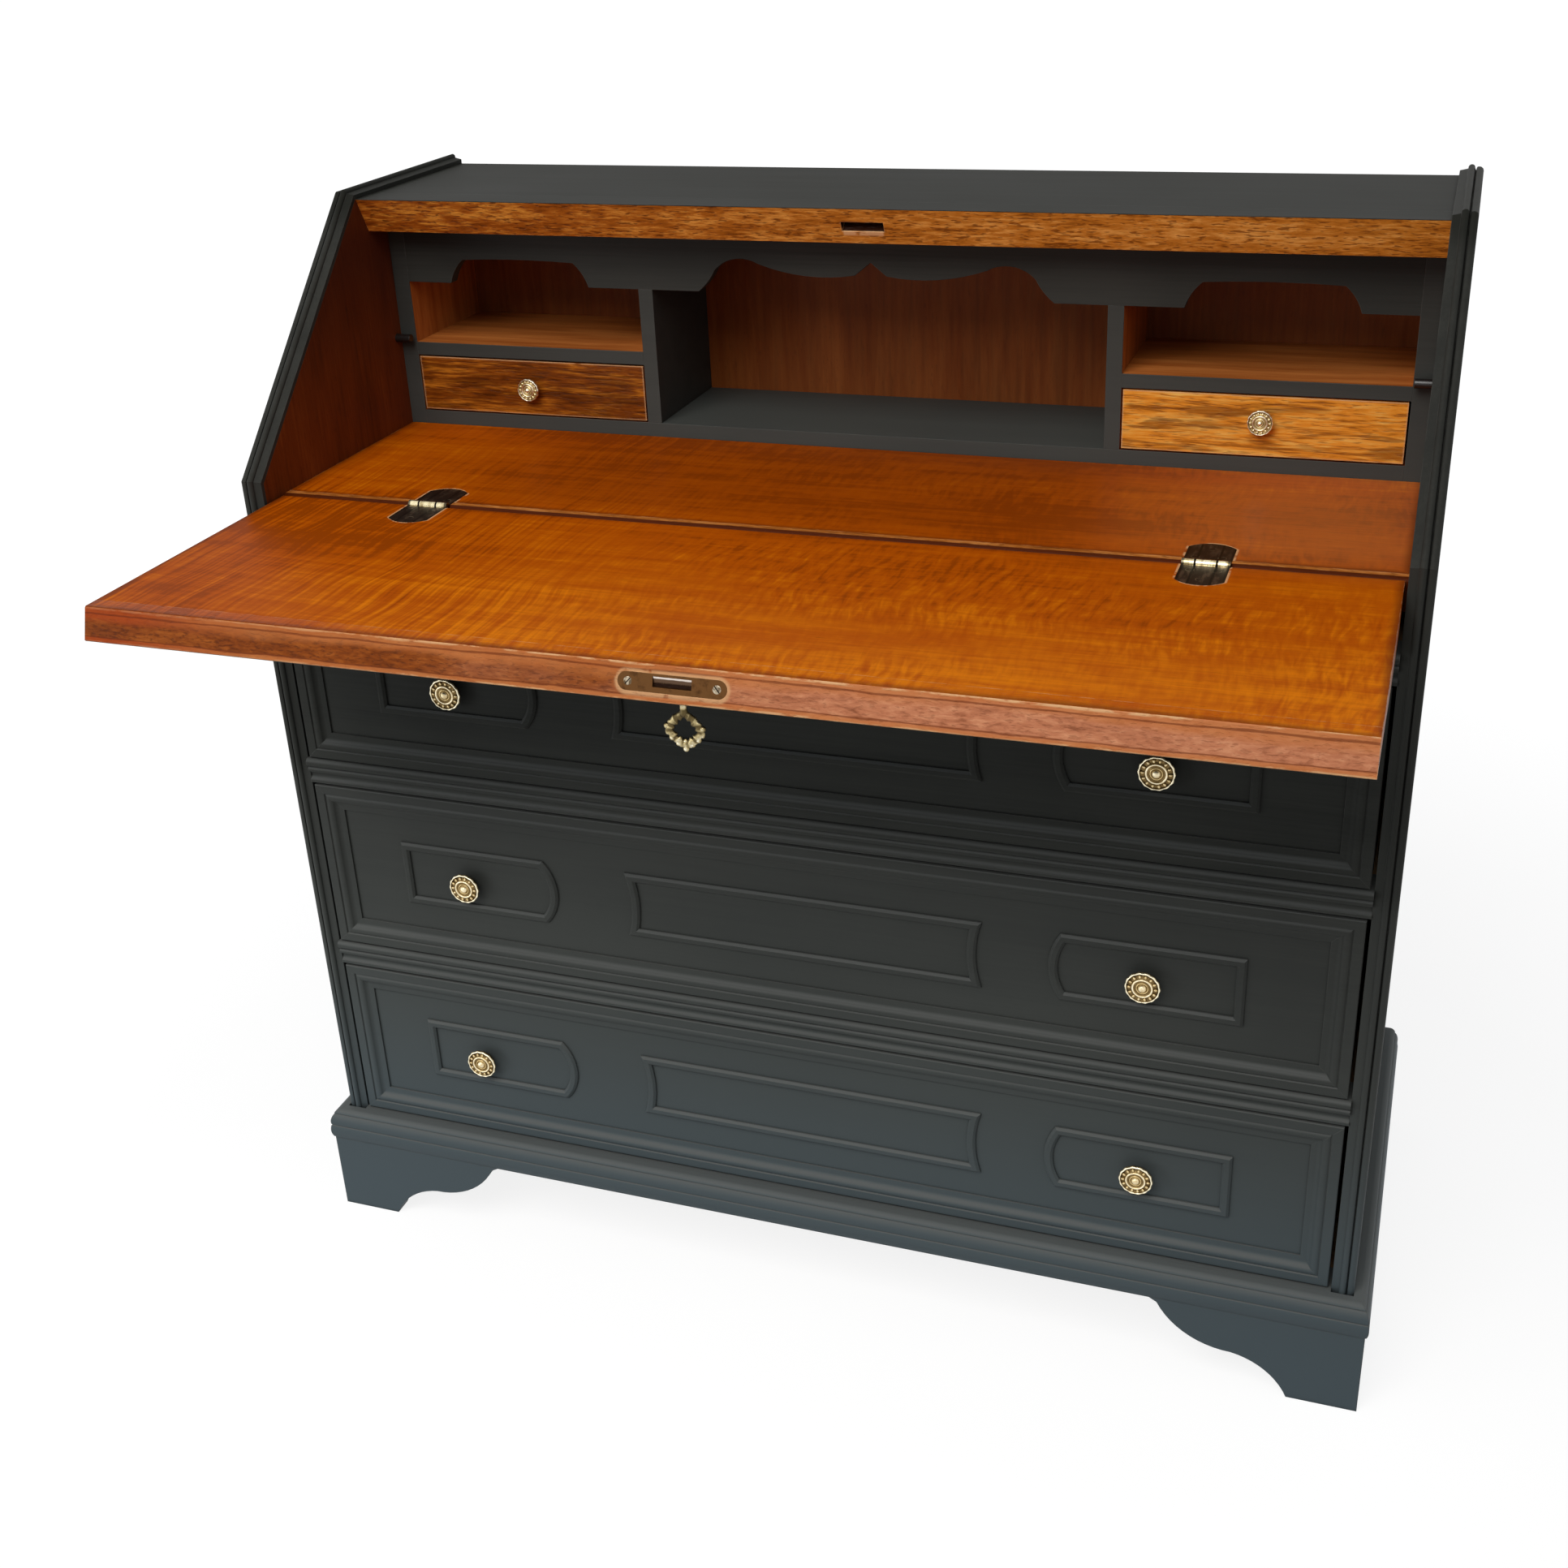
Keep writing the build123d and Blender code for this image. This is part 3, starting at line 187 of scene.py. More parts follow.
# %% Finish class
class Finish:
    """One material being mixed."""

    def __init__(self, name, **fixed):
        self.material = bpy.data.materials.new(name)
        self.material.use_nodes = True
        self.tree = self.material.node_tree
        self.shader = self.tree.nodes["Principled BSDF"]
        for socket, value in fixed.items():
            self.shader.inputs[socket.replace("_", " ")].default_value = value
        self.place = self.node("ShaderNodeTexCoord").outputs["Object"]
        split = self.node("ShaderNodeSeparateXYZ", {"Vector": self.place})
        self.x, self.y, self.z = split.outputs

    def node(self, kind, inputs=None, **settings):
        made = self.tree.nodes.new(kind)
        for name, value in settings.items():
            setattr(made, name, value)
        for socket, value in (inputs or {}).items():
            if isinstance(value, bpy.types.NodeSocket):
                self.tree.links.new(value, made.inputs[socket])
            else:
                made.inputs[socket].default_value = value
        return made

    def math(self, operation, a, b=0.0):
        return self.node("ShaderNodeMath", {0: a, 1: b}, operation=operation).outputs[0]

    def noise(self, scale, detail=3.0, rough=0.5, warp=0.0, at=(0.0, 0.0, 0.0), place=None):
        """Noise with its own scale along each axis: a small number gives a long streak."""
        values = {"Vector": place or self.place, "Scale": scale, "Location": at}
        scaled = self.node("ShaderNodeMapping", values).outputs[0]
        values = {"Vector": scaled, "Scale": 1.0, "Detail": detail, "Roughness": rough}
        values["Distortion"] = warp
        return self.node("ShaderNodeTexNoise", values).outputs["Fac"]

    def band(self, value, low, high):
        """0 below low and 1 above high (or the other way round), with a soft step between."""
        inputs = {"Value": value, "From Min": low, "From Max": high}
        step = self.node("ShaderNodeMapRange", inputs, interpolation_type="SMOOTHSTEP", clamp=True)
        return step.outputs["Result"]

    def above(self, value, limit):
        return self.math("GREATER_THAN", value, limit)

    def below(self, value, limit):
        return self.math("LESS_THAN", value, limit)

    def times(self, a, b):
        """Product; of two masks it is 1 where both are 1."""
        return self.math("MULTIPLY", a, b)

    def plus(self, a, b):
        return self.math("ADD", a, b)

    def minus(self, a, b):
        return self.math("SUBTRACT", a, b)

    def most(self, a, b):
        return self.math("MAXIMUM", a, b)

    def least(self, a, b):
        return self.math("MINIMUM", a, b)

    def size(self, a):
        return self.math("ABSOLUTE", a)

    def mix(self, share, a, b):
        """Color mix; a and b are sockets or (red, green, blue)."""
        made = self.node("ShaderNodeMix", data_type="RGBA")
        for socket, value in ((0, share), (6, a), (7, b)):
            if isinstance(value, bpy.types.NodeSocket):
                self.tree.links.new(value, made.inputs[socket])
            elif socket == 0:
                made.inputs[0].default_value = value
            else:
                made.inputs[socket].default_value = (*value, 1.0)
        return made.outputs[2]

    def blend(self, share, a, b):
        """Number mix."""
        return self.node("ShaderNodeMix", {0: share, 2: a, 3: b}, data_type="FLOAT").outputs[0]

    def sheen(self, level):
        """How strongly the surface mirrors the room, where that changes from place to place."""
        self.tree.links.new(level, self.shader.inputs["Specular IOR Level"])

    def normal(self):
        return self.node("ShaderNodeNewGeometry").outputs["Normal"]

    def eased(self, radius):
        """The normal that the surface would have with its hard edges rounded to a radius."""
        return self.node("ShaderNodeBevel", {"Radius": radius}, samples=6).outputs[0]

    def edges(self, radius, low, high):
        """1 along sharp edges and 0 on the flats, from how far a rounded edge would lean."""
        values = {0: self.eased(radius), 1: self.normal()}
        lean = self.node("ShaderNodeVectorMath", values, operation="DOT_PRODUCT")
        return self.band(lean.outputs["Value"], high, low)

    def crowding(self, distance, samples):
        """1 in the open, and less where other surfaces are near."""
        values = {"Distance": distance}
        return self.node("ShaderNodeAmbientOcclusion", values, samples=samples).outputs["AO"]

    def join(self, mask, first, second):
        """The first look where mask is 0, the second where it is 1."""
        color = self.mix(mask, first[0], second[0])
        return (color, self.blend(mask, first[1], second[1]), self.blend(mask, first[2], second[2]))

    def close(self, look, depth, ease=0.0007):
        """Connects a look to the shader; depth is the bump's height, ease the edges' rounding."""
        color, roughness, height = look
        values = {"Height": height, "Distance": depth, "Normal": self.eased(ease)}
        bump = self.node("ShaderNodeBump", values)
        self.tree.links.new(color, self.shader.inputs["Base Color"])
        self.tree.links.new(roughness, self.shader.inputs["Roughness"])
        self.tree.links.new(bump.outputs[0], self.shader.inputs["Normal"])
        return self.material


ALONG = {"x": (0, 1, 1), "y": (1, 0, 1), "z": (1, 1, 0), "xy": (0, 0, 1)}


def streaks(along, long_scale, fine_scale):
    """Noise scales for streaks that run along the named axis or axes."""
    return tuple(fine_scale if across else long_scale for across in ALONG[along])


print("finish tools ready")

# %% [markdown]
# ## Charcoal paint
# The outside wears two coats of flat charcoal, brushed along each board and waxed to a low sheen.
# Brush marks are streaks of noise along the board, less than a tenth of a millimetre deep. The coat is
# painted paler and cooler low down, standing in for the floor's bounce light, and a little darker to
# the right as painted shade. It has painted shade in the hollows, painted highlights on the ledges, and
# a thin grey line along hard edges that is partly rubbed wear and partly painted highlight. The top
# board is painted darker, as painted shade. It shines a little near the floor and hardly at all on top.
# The streaks' direction is an argument, so that rails are brushed sideways and panels upwards with one
# recipe.

# %% Paint
CHARCOAL_DEEP = (0.025, 0.0255, 0.0225)
CHARCOAL_PALE = (0.040, 0.0405, 0.0355)
CHARCOAL_PAINTED_LIGHT = (0.100, 0.110, 0.103)
CHARCOAL_COOL_LIGHT = (0.085, 0.118, 0.138)
CHARCOAL_TOP_SHADE = (0.015, 0.0155, 0.0125)
CHARCOAL_RUB_AND_HIGHLIGHT = (0.125, 0.125, 0.115)
CHARCOAL_CREASE_SHADE = (0.010, 0.010, 0.009)
CHARCOAL_LEDGE_HIGHLIGHT = (0.150, 0.155, 0.148)
FLOOR_LIGHT_TOP = 0.66
COOL_LIGHT_TOP = 0.34
LEDGE_HIGHLIGHT_TOP = (0.74, 0.71)
UNDER_FLAP = (0.48, 0.51)
TOP_BOARD = (0.94, 0.966)


def painted(f, along):
    brush = f.noise(streaks(along, 7, 420), 4, 0.6)
    broad = f.noise(streaks(along, 3, 50), 3, 0.5, at=(1.7, 0.3, 2.2))
    cloud = f.noise((4, 4, 4), 3, 0.5, 0.4)
    tone = f.plus(f.times(brush, 0.20), f.times(broad, 0.25))
    tone = f.plus(tone, f.times(cloud, 0.55))
    color = f.mix(f.band(tone, 0.38, 0.62), CHARCOAL_DEEP, CHARCOAL_PALE)
    # Painted light: paler low down where the floor's bounce light falls, a little less so to the right,
    # which is painted shade there.
    lit_low_share = f.blend(f.band(f.x, 0.10, 0.50), 0.85, 0.62)
    color = f.mix(f.times(f.band(f.z, FLOOR_LIGHT_TOP, 0.0), lit_low_share), color, CHARCOAL_PAINTED_LIGHT)
    # Painted light: a cool tint low down for the bluish light from the sky and the floor.
    color = f.mix(f.times(f.band(f.z, COOL_LIGHT_TOP, 0.0), 0.75), color, CHARCOAL_COOL_LIGHT)
    # Painted shade: the top board is darkened.
    color = f.mix(f.times(f.band(f.z, *TOP_BOARD), 0.85), color, CHARCOAL_TOP_SHADE)
    # Painted shade: darker in hollows and creases, where ambient occlusion finds near surfaces.
    hollow = f.band(f.crowding(0.007, 6), 0.80, 0.40)
    color = f.mix(f.times(hollow, 0.50), color, CHARCOAL_CREASE_SHADE)
    # Painted highlight: paler on upward-facing ledges below the desk's top.
    facing = f.node("ShaderNodeSeparateXYZ", {"Vector": f.normal()}).outputs[2]
    ledge_highlight = f.times(f.band(facing, 0.10, 0.75), f.band(f.z, *LEDGE_HIGHLIGHT_TOP))
    color = f.mix(f.times(ledge_highlight, 0.65), color, CHARCOAL_LEDGE_HIGHLIGHT)
    # A pale line along hard edges: partly rubbed wear, partly a painted highlight.
    rub = f.times(f.edges(0.0012, 0.80, 0.97), f.band(f.noise((30, 30, 30), 4, 0.6), 0.36, 0.60))
    color = f.mix(f.times(rub, 0.55), color, CHARCOAL_RUB_AND_HIGHLIGHT)
    roughness = f.plus(0.46, f.times(tone, 0.22))
    return color, roughness, f.plus(f.times(brush, 0.4), f.times(broad, 0.6))


def paint_sheen(f):
    """Waxed low down, duller under the flap, dullest on top."""
    low_down = f.blend(f.band(f.z, *UNDER_FLAP), 0.14, 0.06)
    return f.blend(f.band(f.z, *TOP_BOARD), low_down, 0.044)


def paint_finish(name, along):
    f = Finish(name)
    f.sheen(paint_sheen(f))
    return f.close(painted(f, along), 0.00007)


PAINT = {along: paint_finish("charcoal_paint_" + along, along) for along in ("x", "z", "xy")}
print("paints", sorted(m.name for m in PAINT.values()))

# %% [markdown]
# ## Amber varnish over figured wood
# The flap and the bed are veneered with a curly wood: the grain runs the length of the desk, and
# ripples lie across it where the fibres wave. Under amber varnish the ripples show as light and dark
# bars a few millimetres wide, strong in some places and gone in others. The recipe adds up layers of
# noise: long warm clouds and bands, fine grain lines, a soft mottle, ripples across the grain with a
# patchy mask, and small dark pores. The bed behind the flap is deeper in its middle, and at its right a
# pale painted reflection is mixed into its color. The color turns to red along the edges, and pale
# chips show where an edge is knocked.

# %% Varnish
AMBER_DEEP = (0.170, 0.026, 0.0006)
AMBER = (0.480, 0.086, 0.0006)
AMBER_GOLD = (0.780, 0.215, 0.0024)
AMBER_PAINTED_REFLECTION = (0.620, 0.260, 0.105)
EDGE_RED = (0.110, 0.020, 0.003)
PALE_CHIP = (0.78, 0.45, 0.22)
LIP_SLOPE = tan(radians(18.2))
LEAF_HALF = 0.018
LEAF_LOW, LEAF_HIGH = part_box("hinge_flap_leaves")
PIN_LOW, PIN_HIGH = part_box("hinge_pins")
PIN_Y = (PIN_LOW.y + PIN_HIGH.y) / 2
FLAP_LOW, FLAP_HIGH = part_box("flap_panel")
FLAP_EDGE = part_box("flap_front_lipping")[0].y + (FLAP_HIGH.z - FLAP_LOW.z) * LIP_SLOPE


def chipped(f, color, share, low=0.45, high=0.62, radius=0.0012):
    """Adds small pale chips along the hard edges."""
    spots = f.noise((55, 55, 55), 5, 0.65, at=(0.3, 4.1, 0.9))
    chips = f.times(f.edges(radius, 0.82, 0.97), f.band(spots, low, high))
    return f.mix(f.times(chips, share), color, PALE_CHIP)


def curly(f):
    clouds = f.noise((3.0, 8, 8), 3, 0.5, 0.6)
    bands = f.noise((4, 75, 75), 4, 0.60, 0.5, at=(0.7, 1.9, 0.1))
    grain = f.noise((9, 330, 330), 3, 0.6, 0.3, at=(0.4, 0.7, 0.1))
    mottle = f.noise((42, 85, 85), 3, 0.6, 0.6, at=(3.4, 0.2, 0))
    wander = f.noise((3, 5, 5), 2, 0.5, at=(2.1, 3.3, 0))
    slant = f.plus(f.x, f.times(wander, 0.05))
    bent = f.node("ShaderNodeCombineXYZ", {0: slant, 1: f.y, 2: f.z}).outputs[0]
    left = f.band(f.x, 0.04, -0.22)
    short = f.noise((200, 36, 36), 2, 0.5, 0.4, place=bent)
    long = f.noise((310, 9, 9), 2, 0.5, 0.1, place=bent)
    ripple = f.blend(left, short, long)
    patch = f.band(f.noise((7, 11, 11), 2, 0.5, at=(5.5, 1.2, 0)), 0.38, 0.62)
    behind = f.band(f.y, FLAP_HIGH.y - 0.03, FLAP_HIGH.y + 0.06)
    strength = f.blend(left, f.blend(patch, 0.10, 0.42), f.blend(patch, 0.30, 0.58))
    strength = f.times(strength, f.blend(behind, 1.0, 0.62))
    light = f.plus(f.times(clouds, 0.34), f.times(bands, 0.24))
    light = f.plus(light, f.plus(f.times(grain, 0.14), f.times(mottle, 0.14)))
    light = f.plus(light, f.times(f.minus(ripple, 0.5), strength))
    light = f.plus(light, f.times(f.band(f.y, FLAP_HIGH.y, FLAP_LOW.y), 0.13))
    rear = f.blend(f.band(f.x, 0.10, 0.42), -0.015, 0.03)
    rear = f.blend(f.band(f.x, -0.24, -0.42), rear, 0.035)
    front = f.times(f.band(f.x, -0.10, -0.42), -0.085)
    light = f.plus(light, f.blend(behind, front, rear))
    light = f.most(light, 0.37)
    color = f.mix(f.band(light, 0.28, 0.47), AMBER_DEEP, AMBER)
    color = f.mix(f.band(light, 0.44, 0.70), color, AMBER_GOLD)
    deepened = f.times(behind, f.times(f.band(f.x, -0.40, -0.22), f.band(f.x, 0.36, 0.10)))
    color = f.mix(f.times(deepened, 0.35), color, AMBER_DEEP)
    # Painted reflection: a pale sheen mixed into the bed's right.
    painted_reflection = f.times(behind, f.band(f.x, 0.16, 0.44))
    color = f.mix(f.times(painted_reflection, 0.21), color, AMBER_PAINTED_REFLECTION)
    pores = f.band(f.noise((60, 900, 900), 2, 0.5), 0.64, 0.74)
    color = f.mix(f.times(pores, 0.35), color, AMBER_DEEP)
    roughness = f.plus(0.30, f.times(clouds, 0.14))
    height = f.plus(f.times(grain, 0.7), f.times(ripple, 0.3))
    return color, roughness, height


def burnt_edge(f, color, low, high, reach):
    """Deepens a color towards red within reach of the board's four edges, from its box."""
    inset = f.least(f.minus(f.x, low.x), f.minus(high.x, f.x))
    inset = f.least(inset, f.least(f.minus(f.y, low.y), f.minus(high.y, f.y)))
    waver = f.times(f.noise((8, 8, 8), 3, 0.5), reach)
    shade = f.band(f.plus(inset, waver), 1.5 * reach, 0.3 * reach)
    return f.mix(f.times(shade, 0.75), color, EDGE_RED)


def beside_hinge(f):
    """How far a point lies sideways from the middle of the nearer hinge."""
    return f.minus(f.size(f.x), LEAF_HIGH.x - LEAF_HALF)


def hinge_pocket_edge(f):
    """A thin chipped line round the two round-ended pockets that hold the hinge leaves."""
    side = beside_hinge(f)
    across = f.math("DIVIDE", side, LEAF_HALF)
    rounding = f.times(f.times(across, across), 0.009)
    beyond = f.minus(f.size(f.minus(f.y, PIN_Y)), PIN_Y - LEAF_LOW.y)
    gap = f.most(f.minus(f.size(side), LEAF_HALF), f.plus(beyond, rounding))
    line = f.times(f.band(gap, 0.0022, 0.0010), f.above(gap, -0.0004))
    line = f.times(line, f.band(f.noise((90, 90, 90), 4, 0.65), 0.40, 0.52))
    return f.times(line, 0.75)


def writing_surface(name, node, bottom_painted):
    """Varnish on top; the flap's outer face, which is its underside when open, is painted."""
    low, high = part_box(node)
    if bottom_painted:
        low.y = FLAP_EDGE
    f = Finish(name)
    rubbed_dull = f.blend(f.band(f.x, 0.04, -0.30), 0.035, 0.010)
    f.sheen(f.blend(f.times(f.band(f.x, 0.0, 0.42), f.above(f.y, FLAP_HIGH.y)), rubbed_dull, 0.14))
    color, roughness, height = curly(f)
    color = chipped(f, burnt_edge(f, color, low, high, 0.008), 0.8)
    color = f.mix(hinge_pocket_edge(f), color, PALE_CHIP)
    look = (color, roughness, height)
    if bottom_painted:
        look = f.join(f.below(f.z, low.z + 0.0006), look, painted(f, "x"))
    return f.close(look, 0.00010)


BED_VARNISH = writing_surface("bed_varnish", "writing_bed", False)
FLAP_VARNISH = writing_surface("flap_varnish", "flap_panel", True)
print("writing surfaces", BED_VARNISH.name, FLAP_VARNISH.name)

# %% [markdown]
# ## Red-brown stain
# Inside the desk the panels are stained red-brown and rubbed with a little shellac. The sides and the
# gallery back have upright grain. The same boards are painted where they face outwards, so each finish
# here is a stained look and a painted look joined by a mask made from the board's own place.

# %% Stain
STAIN_DEEP = (0.080, 0.017, 0.004)
STAIN = (0.140, 0.028, 0.005)
STAIN_WARM = (0.210, 0.050, 0.009)


def stained(f, along):
    grain = f.noise(streaks(along, 14, 300), 4, 0.6, 0.2)
    figure = f.noise(streaks(along, 4, 14), 4, 0.6, 0.8, at=(3.1, 0.8, 1.4))
    light = f.plus(f.times(grain, 0.45), f.times(figure, 0.55))
    color = f.mix(f.band(light, 0.34, 0.52), STAIN_DEEP, STAIN)
    color = f.mix(f.band(light, 0.50, 0.70), color, STAIN_WARM)
    pores = f.band(f.noise(streaks(along, 110, 800), 2, 0.5), 0.60, 0.72)
    color = f.mix(f.times(pores, 0.6), color, (0.045, 0.010, 0.003))
    return color, f.plus(0.36, f.times(figure, 0.14)), grain


def polished(f, along):
    """The same stain over paler wood, rubbed up with shellac, as inside the pigeon-holes."""
    rough, height = stained(f, along)[1:]
    grain = f.noise(streaks(along, 8, 90), 4, 0.6, 0.3, at=(4.2, 0.6, 2.0))
    return f.mix(f.band(grain, 0.25, 0.80), (0.330, 0.082, 0.013), (0.600, 0.200, 0.045)), rough, height


def back_stain(f, along):
    """Half way between the two, for the gallery's back."""
    dark, rough, height = stained(f, along)
    return f.mix(0.24, dark, polished(f, along)[0]), rough, height


def bare(f, along):
    """Plain old softwood inside the carcass."""
    grain = f.noise(streaks(along, 5, 130), 4, 0.6, 0.4)
    rings = f.noise(streaks(along, 2.0, 34), 3, 0.5, 0.8, at=(0.9, 2.4, 0.2))
    light = f.plus(f.times(grain, 0.4), f.times(rings, 0.6))
    color = f.mix(f.band(light, 0.32, 0.66), (0.110, 0.060, 0.030), (0.270, 0.165, 0.085))
    return color, f.plus(0.62, f.times(grain, 0.2)), grain


DESK_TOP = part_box("writing_bed")[1].z
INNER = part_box("writing_bed")[1].x
GALLERY_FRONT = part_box("gallery_dividers")[0].y
CARCASS_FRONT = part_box("side_panel_left")[0].y


def side_finish():
    f = Finish("side_panel_finish")
    inside = f.below(f.size(f.x), INNER + 0.0006)
    desk = f.times(inside, f.above(f.z, DESK_TOP - 0.004))
    f.sheen(f.blend(desk, paint_sheen(f), 0.15))
    hidden = f.times(inside, f.above(f.y, CARCASS_FRONT + 0.05))
    look = f.join(hidden, painted(f, "z"), bare(f, "z"))
    color, rough, height = stained(f, "z")
    # Painted shade under the top board: the stain darkens towards the top.
    color = f.mix(f.times(f.band(f.z, 0.80, 0.93), 0.60), color, (0.034, 0.009, 0.006))
    return f.close(f.join(desk, look, (color, rough, height)), 0.00012)


def paint_lit_low(f, share):
    """Charcoal inside the desk, painted paler low down, where more light reaches it than under the top
    board.
    """
    color, rough, height = painted(f, "x")
    # Painted light: paler towards the bed, darker up under the top board.
    rubbed = f.times(f.times(f.band(f.z, 0.93, DESK_TOP), share), 0.42)
    return f.mix(rubbed, color, CHARCOAL_PAINTED_LIGHT), rough, height


def gallery_finish(name, painted_part, along, look=stained, low_light=0.0):
    """Stained inside the bays, painted on the front edges and where painted_part says."""
    f = Finish(name, Specular_IOR_Level=0.15)
    edge = f.below(f.y, GALLERY_FRONT + 0.0008)
    middle = f.below(f.size(f.x), painted_part)
    mask = f.most(edge, middle)
    paint = paint_lit_low(f, f.most(edge, low_light))
    return f.close(f.join(mask, look(f, along), paint), 0.00012)


DIVIDER = 0.0135
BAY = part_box("gallery_dividers")[1].x - DIVIDER
SIDES = side_finish()
GALLERY_UPRIGHTS = gallery_finish("gallery_divider_finish", BAY + 0.0006, "z", polished)
GALLERY_SHELF = gallery_finish("gallery_shelf_finish", 0.0, "x", polished)
GALLERY_FLOOR = gallery_finish("gallery_floor_finish", BAY + 0.0006, "x", low_light=1.0)


def plain_finish(name, look, along, depth=0.00015, **fixed):
    f = Finish(name, **fixed)
    return f.close(look(f, along), depth)


LOPER_PULL = 0.009
LOPER_END = 0.008


def loper_finish():
    """A softwood slide with a brass pull on a painted end, which blends in when pushed home."""
    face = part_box("loper_left")[0].y + LOPER_PULL
    f = Finish("loper_finish", Specular_IOR_Level=0.12)
    wood = f.join(f.below(f.y, face + LOPER_END), bare(f, "y"), painted(f, "x"))
    pull = f.below(f.y, face - 0.0002)
    f.tree.links.new(pull, f.shader.inputs["Metallic"])
    return f.close(f.join(pull, wood, ((0.62, 0.50, 0.28), 0.32, 0.5)), 0.00012)


def valance_finish():
    f = Finish("gallery_valance_paint", Specular_IOR_Level=0.08)
    return f.close(paint_lit_low(f, 1.0), 0.00007)


LOPERS = loper_finish()
VALANCE = valance_finish()
GALLERY_BACK = plain_finish("gallery_back_stain", back_stain, "z", Specular_IOR_Level=0.15)
BARE = {
    along: plain_finish("bare_softwood_" + along, bare, along, Specular_IOR_Level=0.12)
    for along in "xyz"
}
print("bay half width", round(BAY, 4), "gallery front", round(GALLERY_FRONT, 4))

# %% [markdown]
# ## Open-grained hardwood
# The bevelled rail under the top, the lipping round the flap's front and the fronts of the two small
# drawers are solid or coarse-veneered hardwood: short dark pores in an orange-brown ground, darker
# smoky streaks, and edges knocked pale. One look takes three tones, the strength of the streaks, and
# how marked and how short the pores are. The lock's plate and its slot in the rail set where the wood
# around them is chipped.

# %% Hardwood
PLATE_LOW, PLATE_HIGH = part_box("lock_face_plate")
LOCK_X = (PLATE_LOW.x + PLATE_HIGH.x) / 2
LOCK_Z = (PLATE_LOW.z + PLATE_HIGH.z) / 2
BOLT_OFFSET = 0.004
RAIL_LEAN = 0.494


def open_grained(f, dark, mid, light, smoke, pore_share=0.75, stretch=1.0):
    ground = f.noise((16 * stretch, 70, 70), 4, 0.6, 0.6)
    grain = f.noise((60 * stretch, 380, 380), 3, 0.65, 0.4, at=(0.2, 1.1, 0.5))
    tone = f.plus(f.times(ground, 0.45), f.times(grain, 0.55))
    color = f.mix(f.band(tone, 0.30, 0.50), dark, mid)
    color = f.mix(f.band(tone, 0.46, 0.68), color, light)
    cloud = f.band(f.noise((5, 34, 34), 3, 0.6, 1.2, at=(0.0, 7.2, 2.3)), 0.52, 0.70)
    color = f.mix(f.times(cloud, smoke), color, dark)
    pores = f.band(f.noise((110 * stretch, 560, 560), 2, 0.5, at=(3.0, 0.4, 8.0)), 0.54, 0.66)
    color = f.mix(f.times(pores, pore_share), color, dark)
    return color, f.plus(0.30, f.times(ground, 0.16)), f.minus(grain, pores)


def rail_finish():
    """Varnished on the bevel, painted on top with the rest of the top board."""
    low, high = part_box("top_front_rail")
    f = Finish("top_rail_finish")
    red = (0.110, 0.024, 0.003), (0.370, 0.088, 0.007), (0.860, 0.350, 0.045)
    gold = (0.200, 0.055, 0.006), (0.640, 0.225, 0.024), (0.980, 0.480, 0.110)
    left = open_grained(f, *red, 0.25)
    right = open_grained(f, *gold, 0.2)
    color = f.mix(f.band(f.x, -0.45, 0.25), left[0], right[0])
    face = f.plus(f.minus(f.y, low.y), f.times(f.minus(f.z, high.z), RAIL_LEAN))
    sunk = f.times(f.above(face, 0.0010), f.above(f.z, low.z + 0.002))
    beside = f.size(f.minus(f.x, LOCK_X - BOLT_OFFSET))
    down = f.math("DIVIDE", f.minus(high.z, f.z), high.z - low.z)
    lip = f.times(f.above(down, 0.55), f.band(down, 0.80, 0.73))
    lip = f.times(lip, f.band(f.noise((70, 70, 70), 3, 0.6), 0.30, 0.46))
    color = f.mix(f.times(f.times(lip, f.band(beside, 0.0185, 0.0165)), 0.85), color, PALE_CHIP)
    # Painted shade: the inside of the bolt's slot is colored near black.
    slot = f.times(sunk, f.below(beside, 0.022))
    color = f.mix(slot, color, (0.030, 0.008, 0.003))
    wood = (chipped(f, color, 0.85, 0.40, 0.55), left[1], left[2])
    top = f.above(f.z, high.z - 0.0006)
    f.sheen(f.blend(top, 0.14, 0.048))
    return f.close(f.join(top, wood, painted(f, "x")), 0.0002)


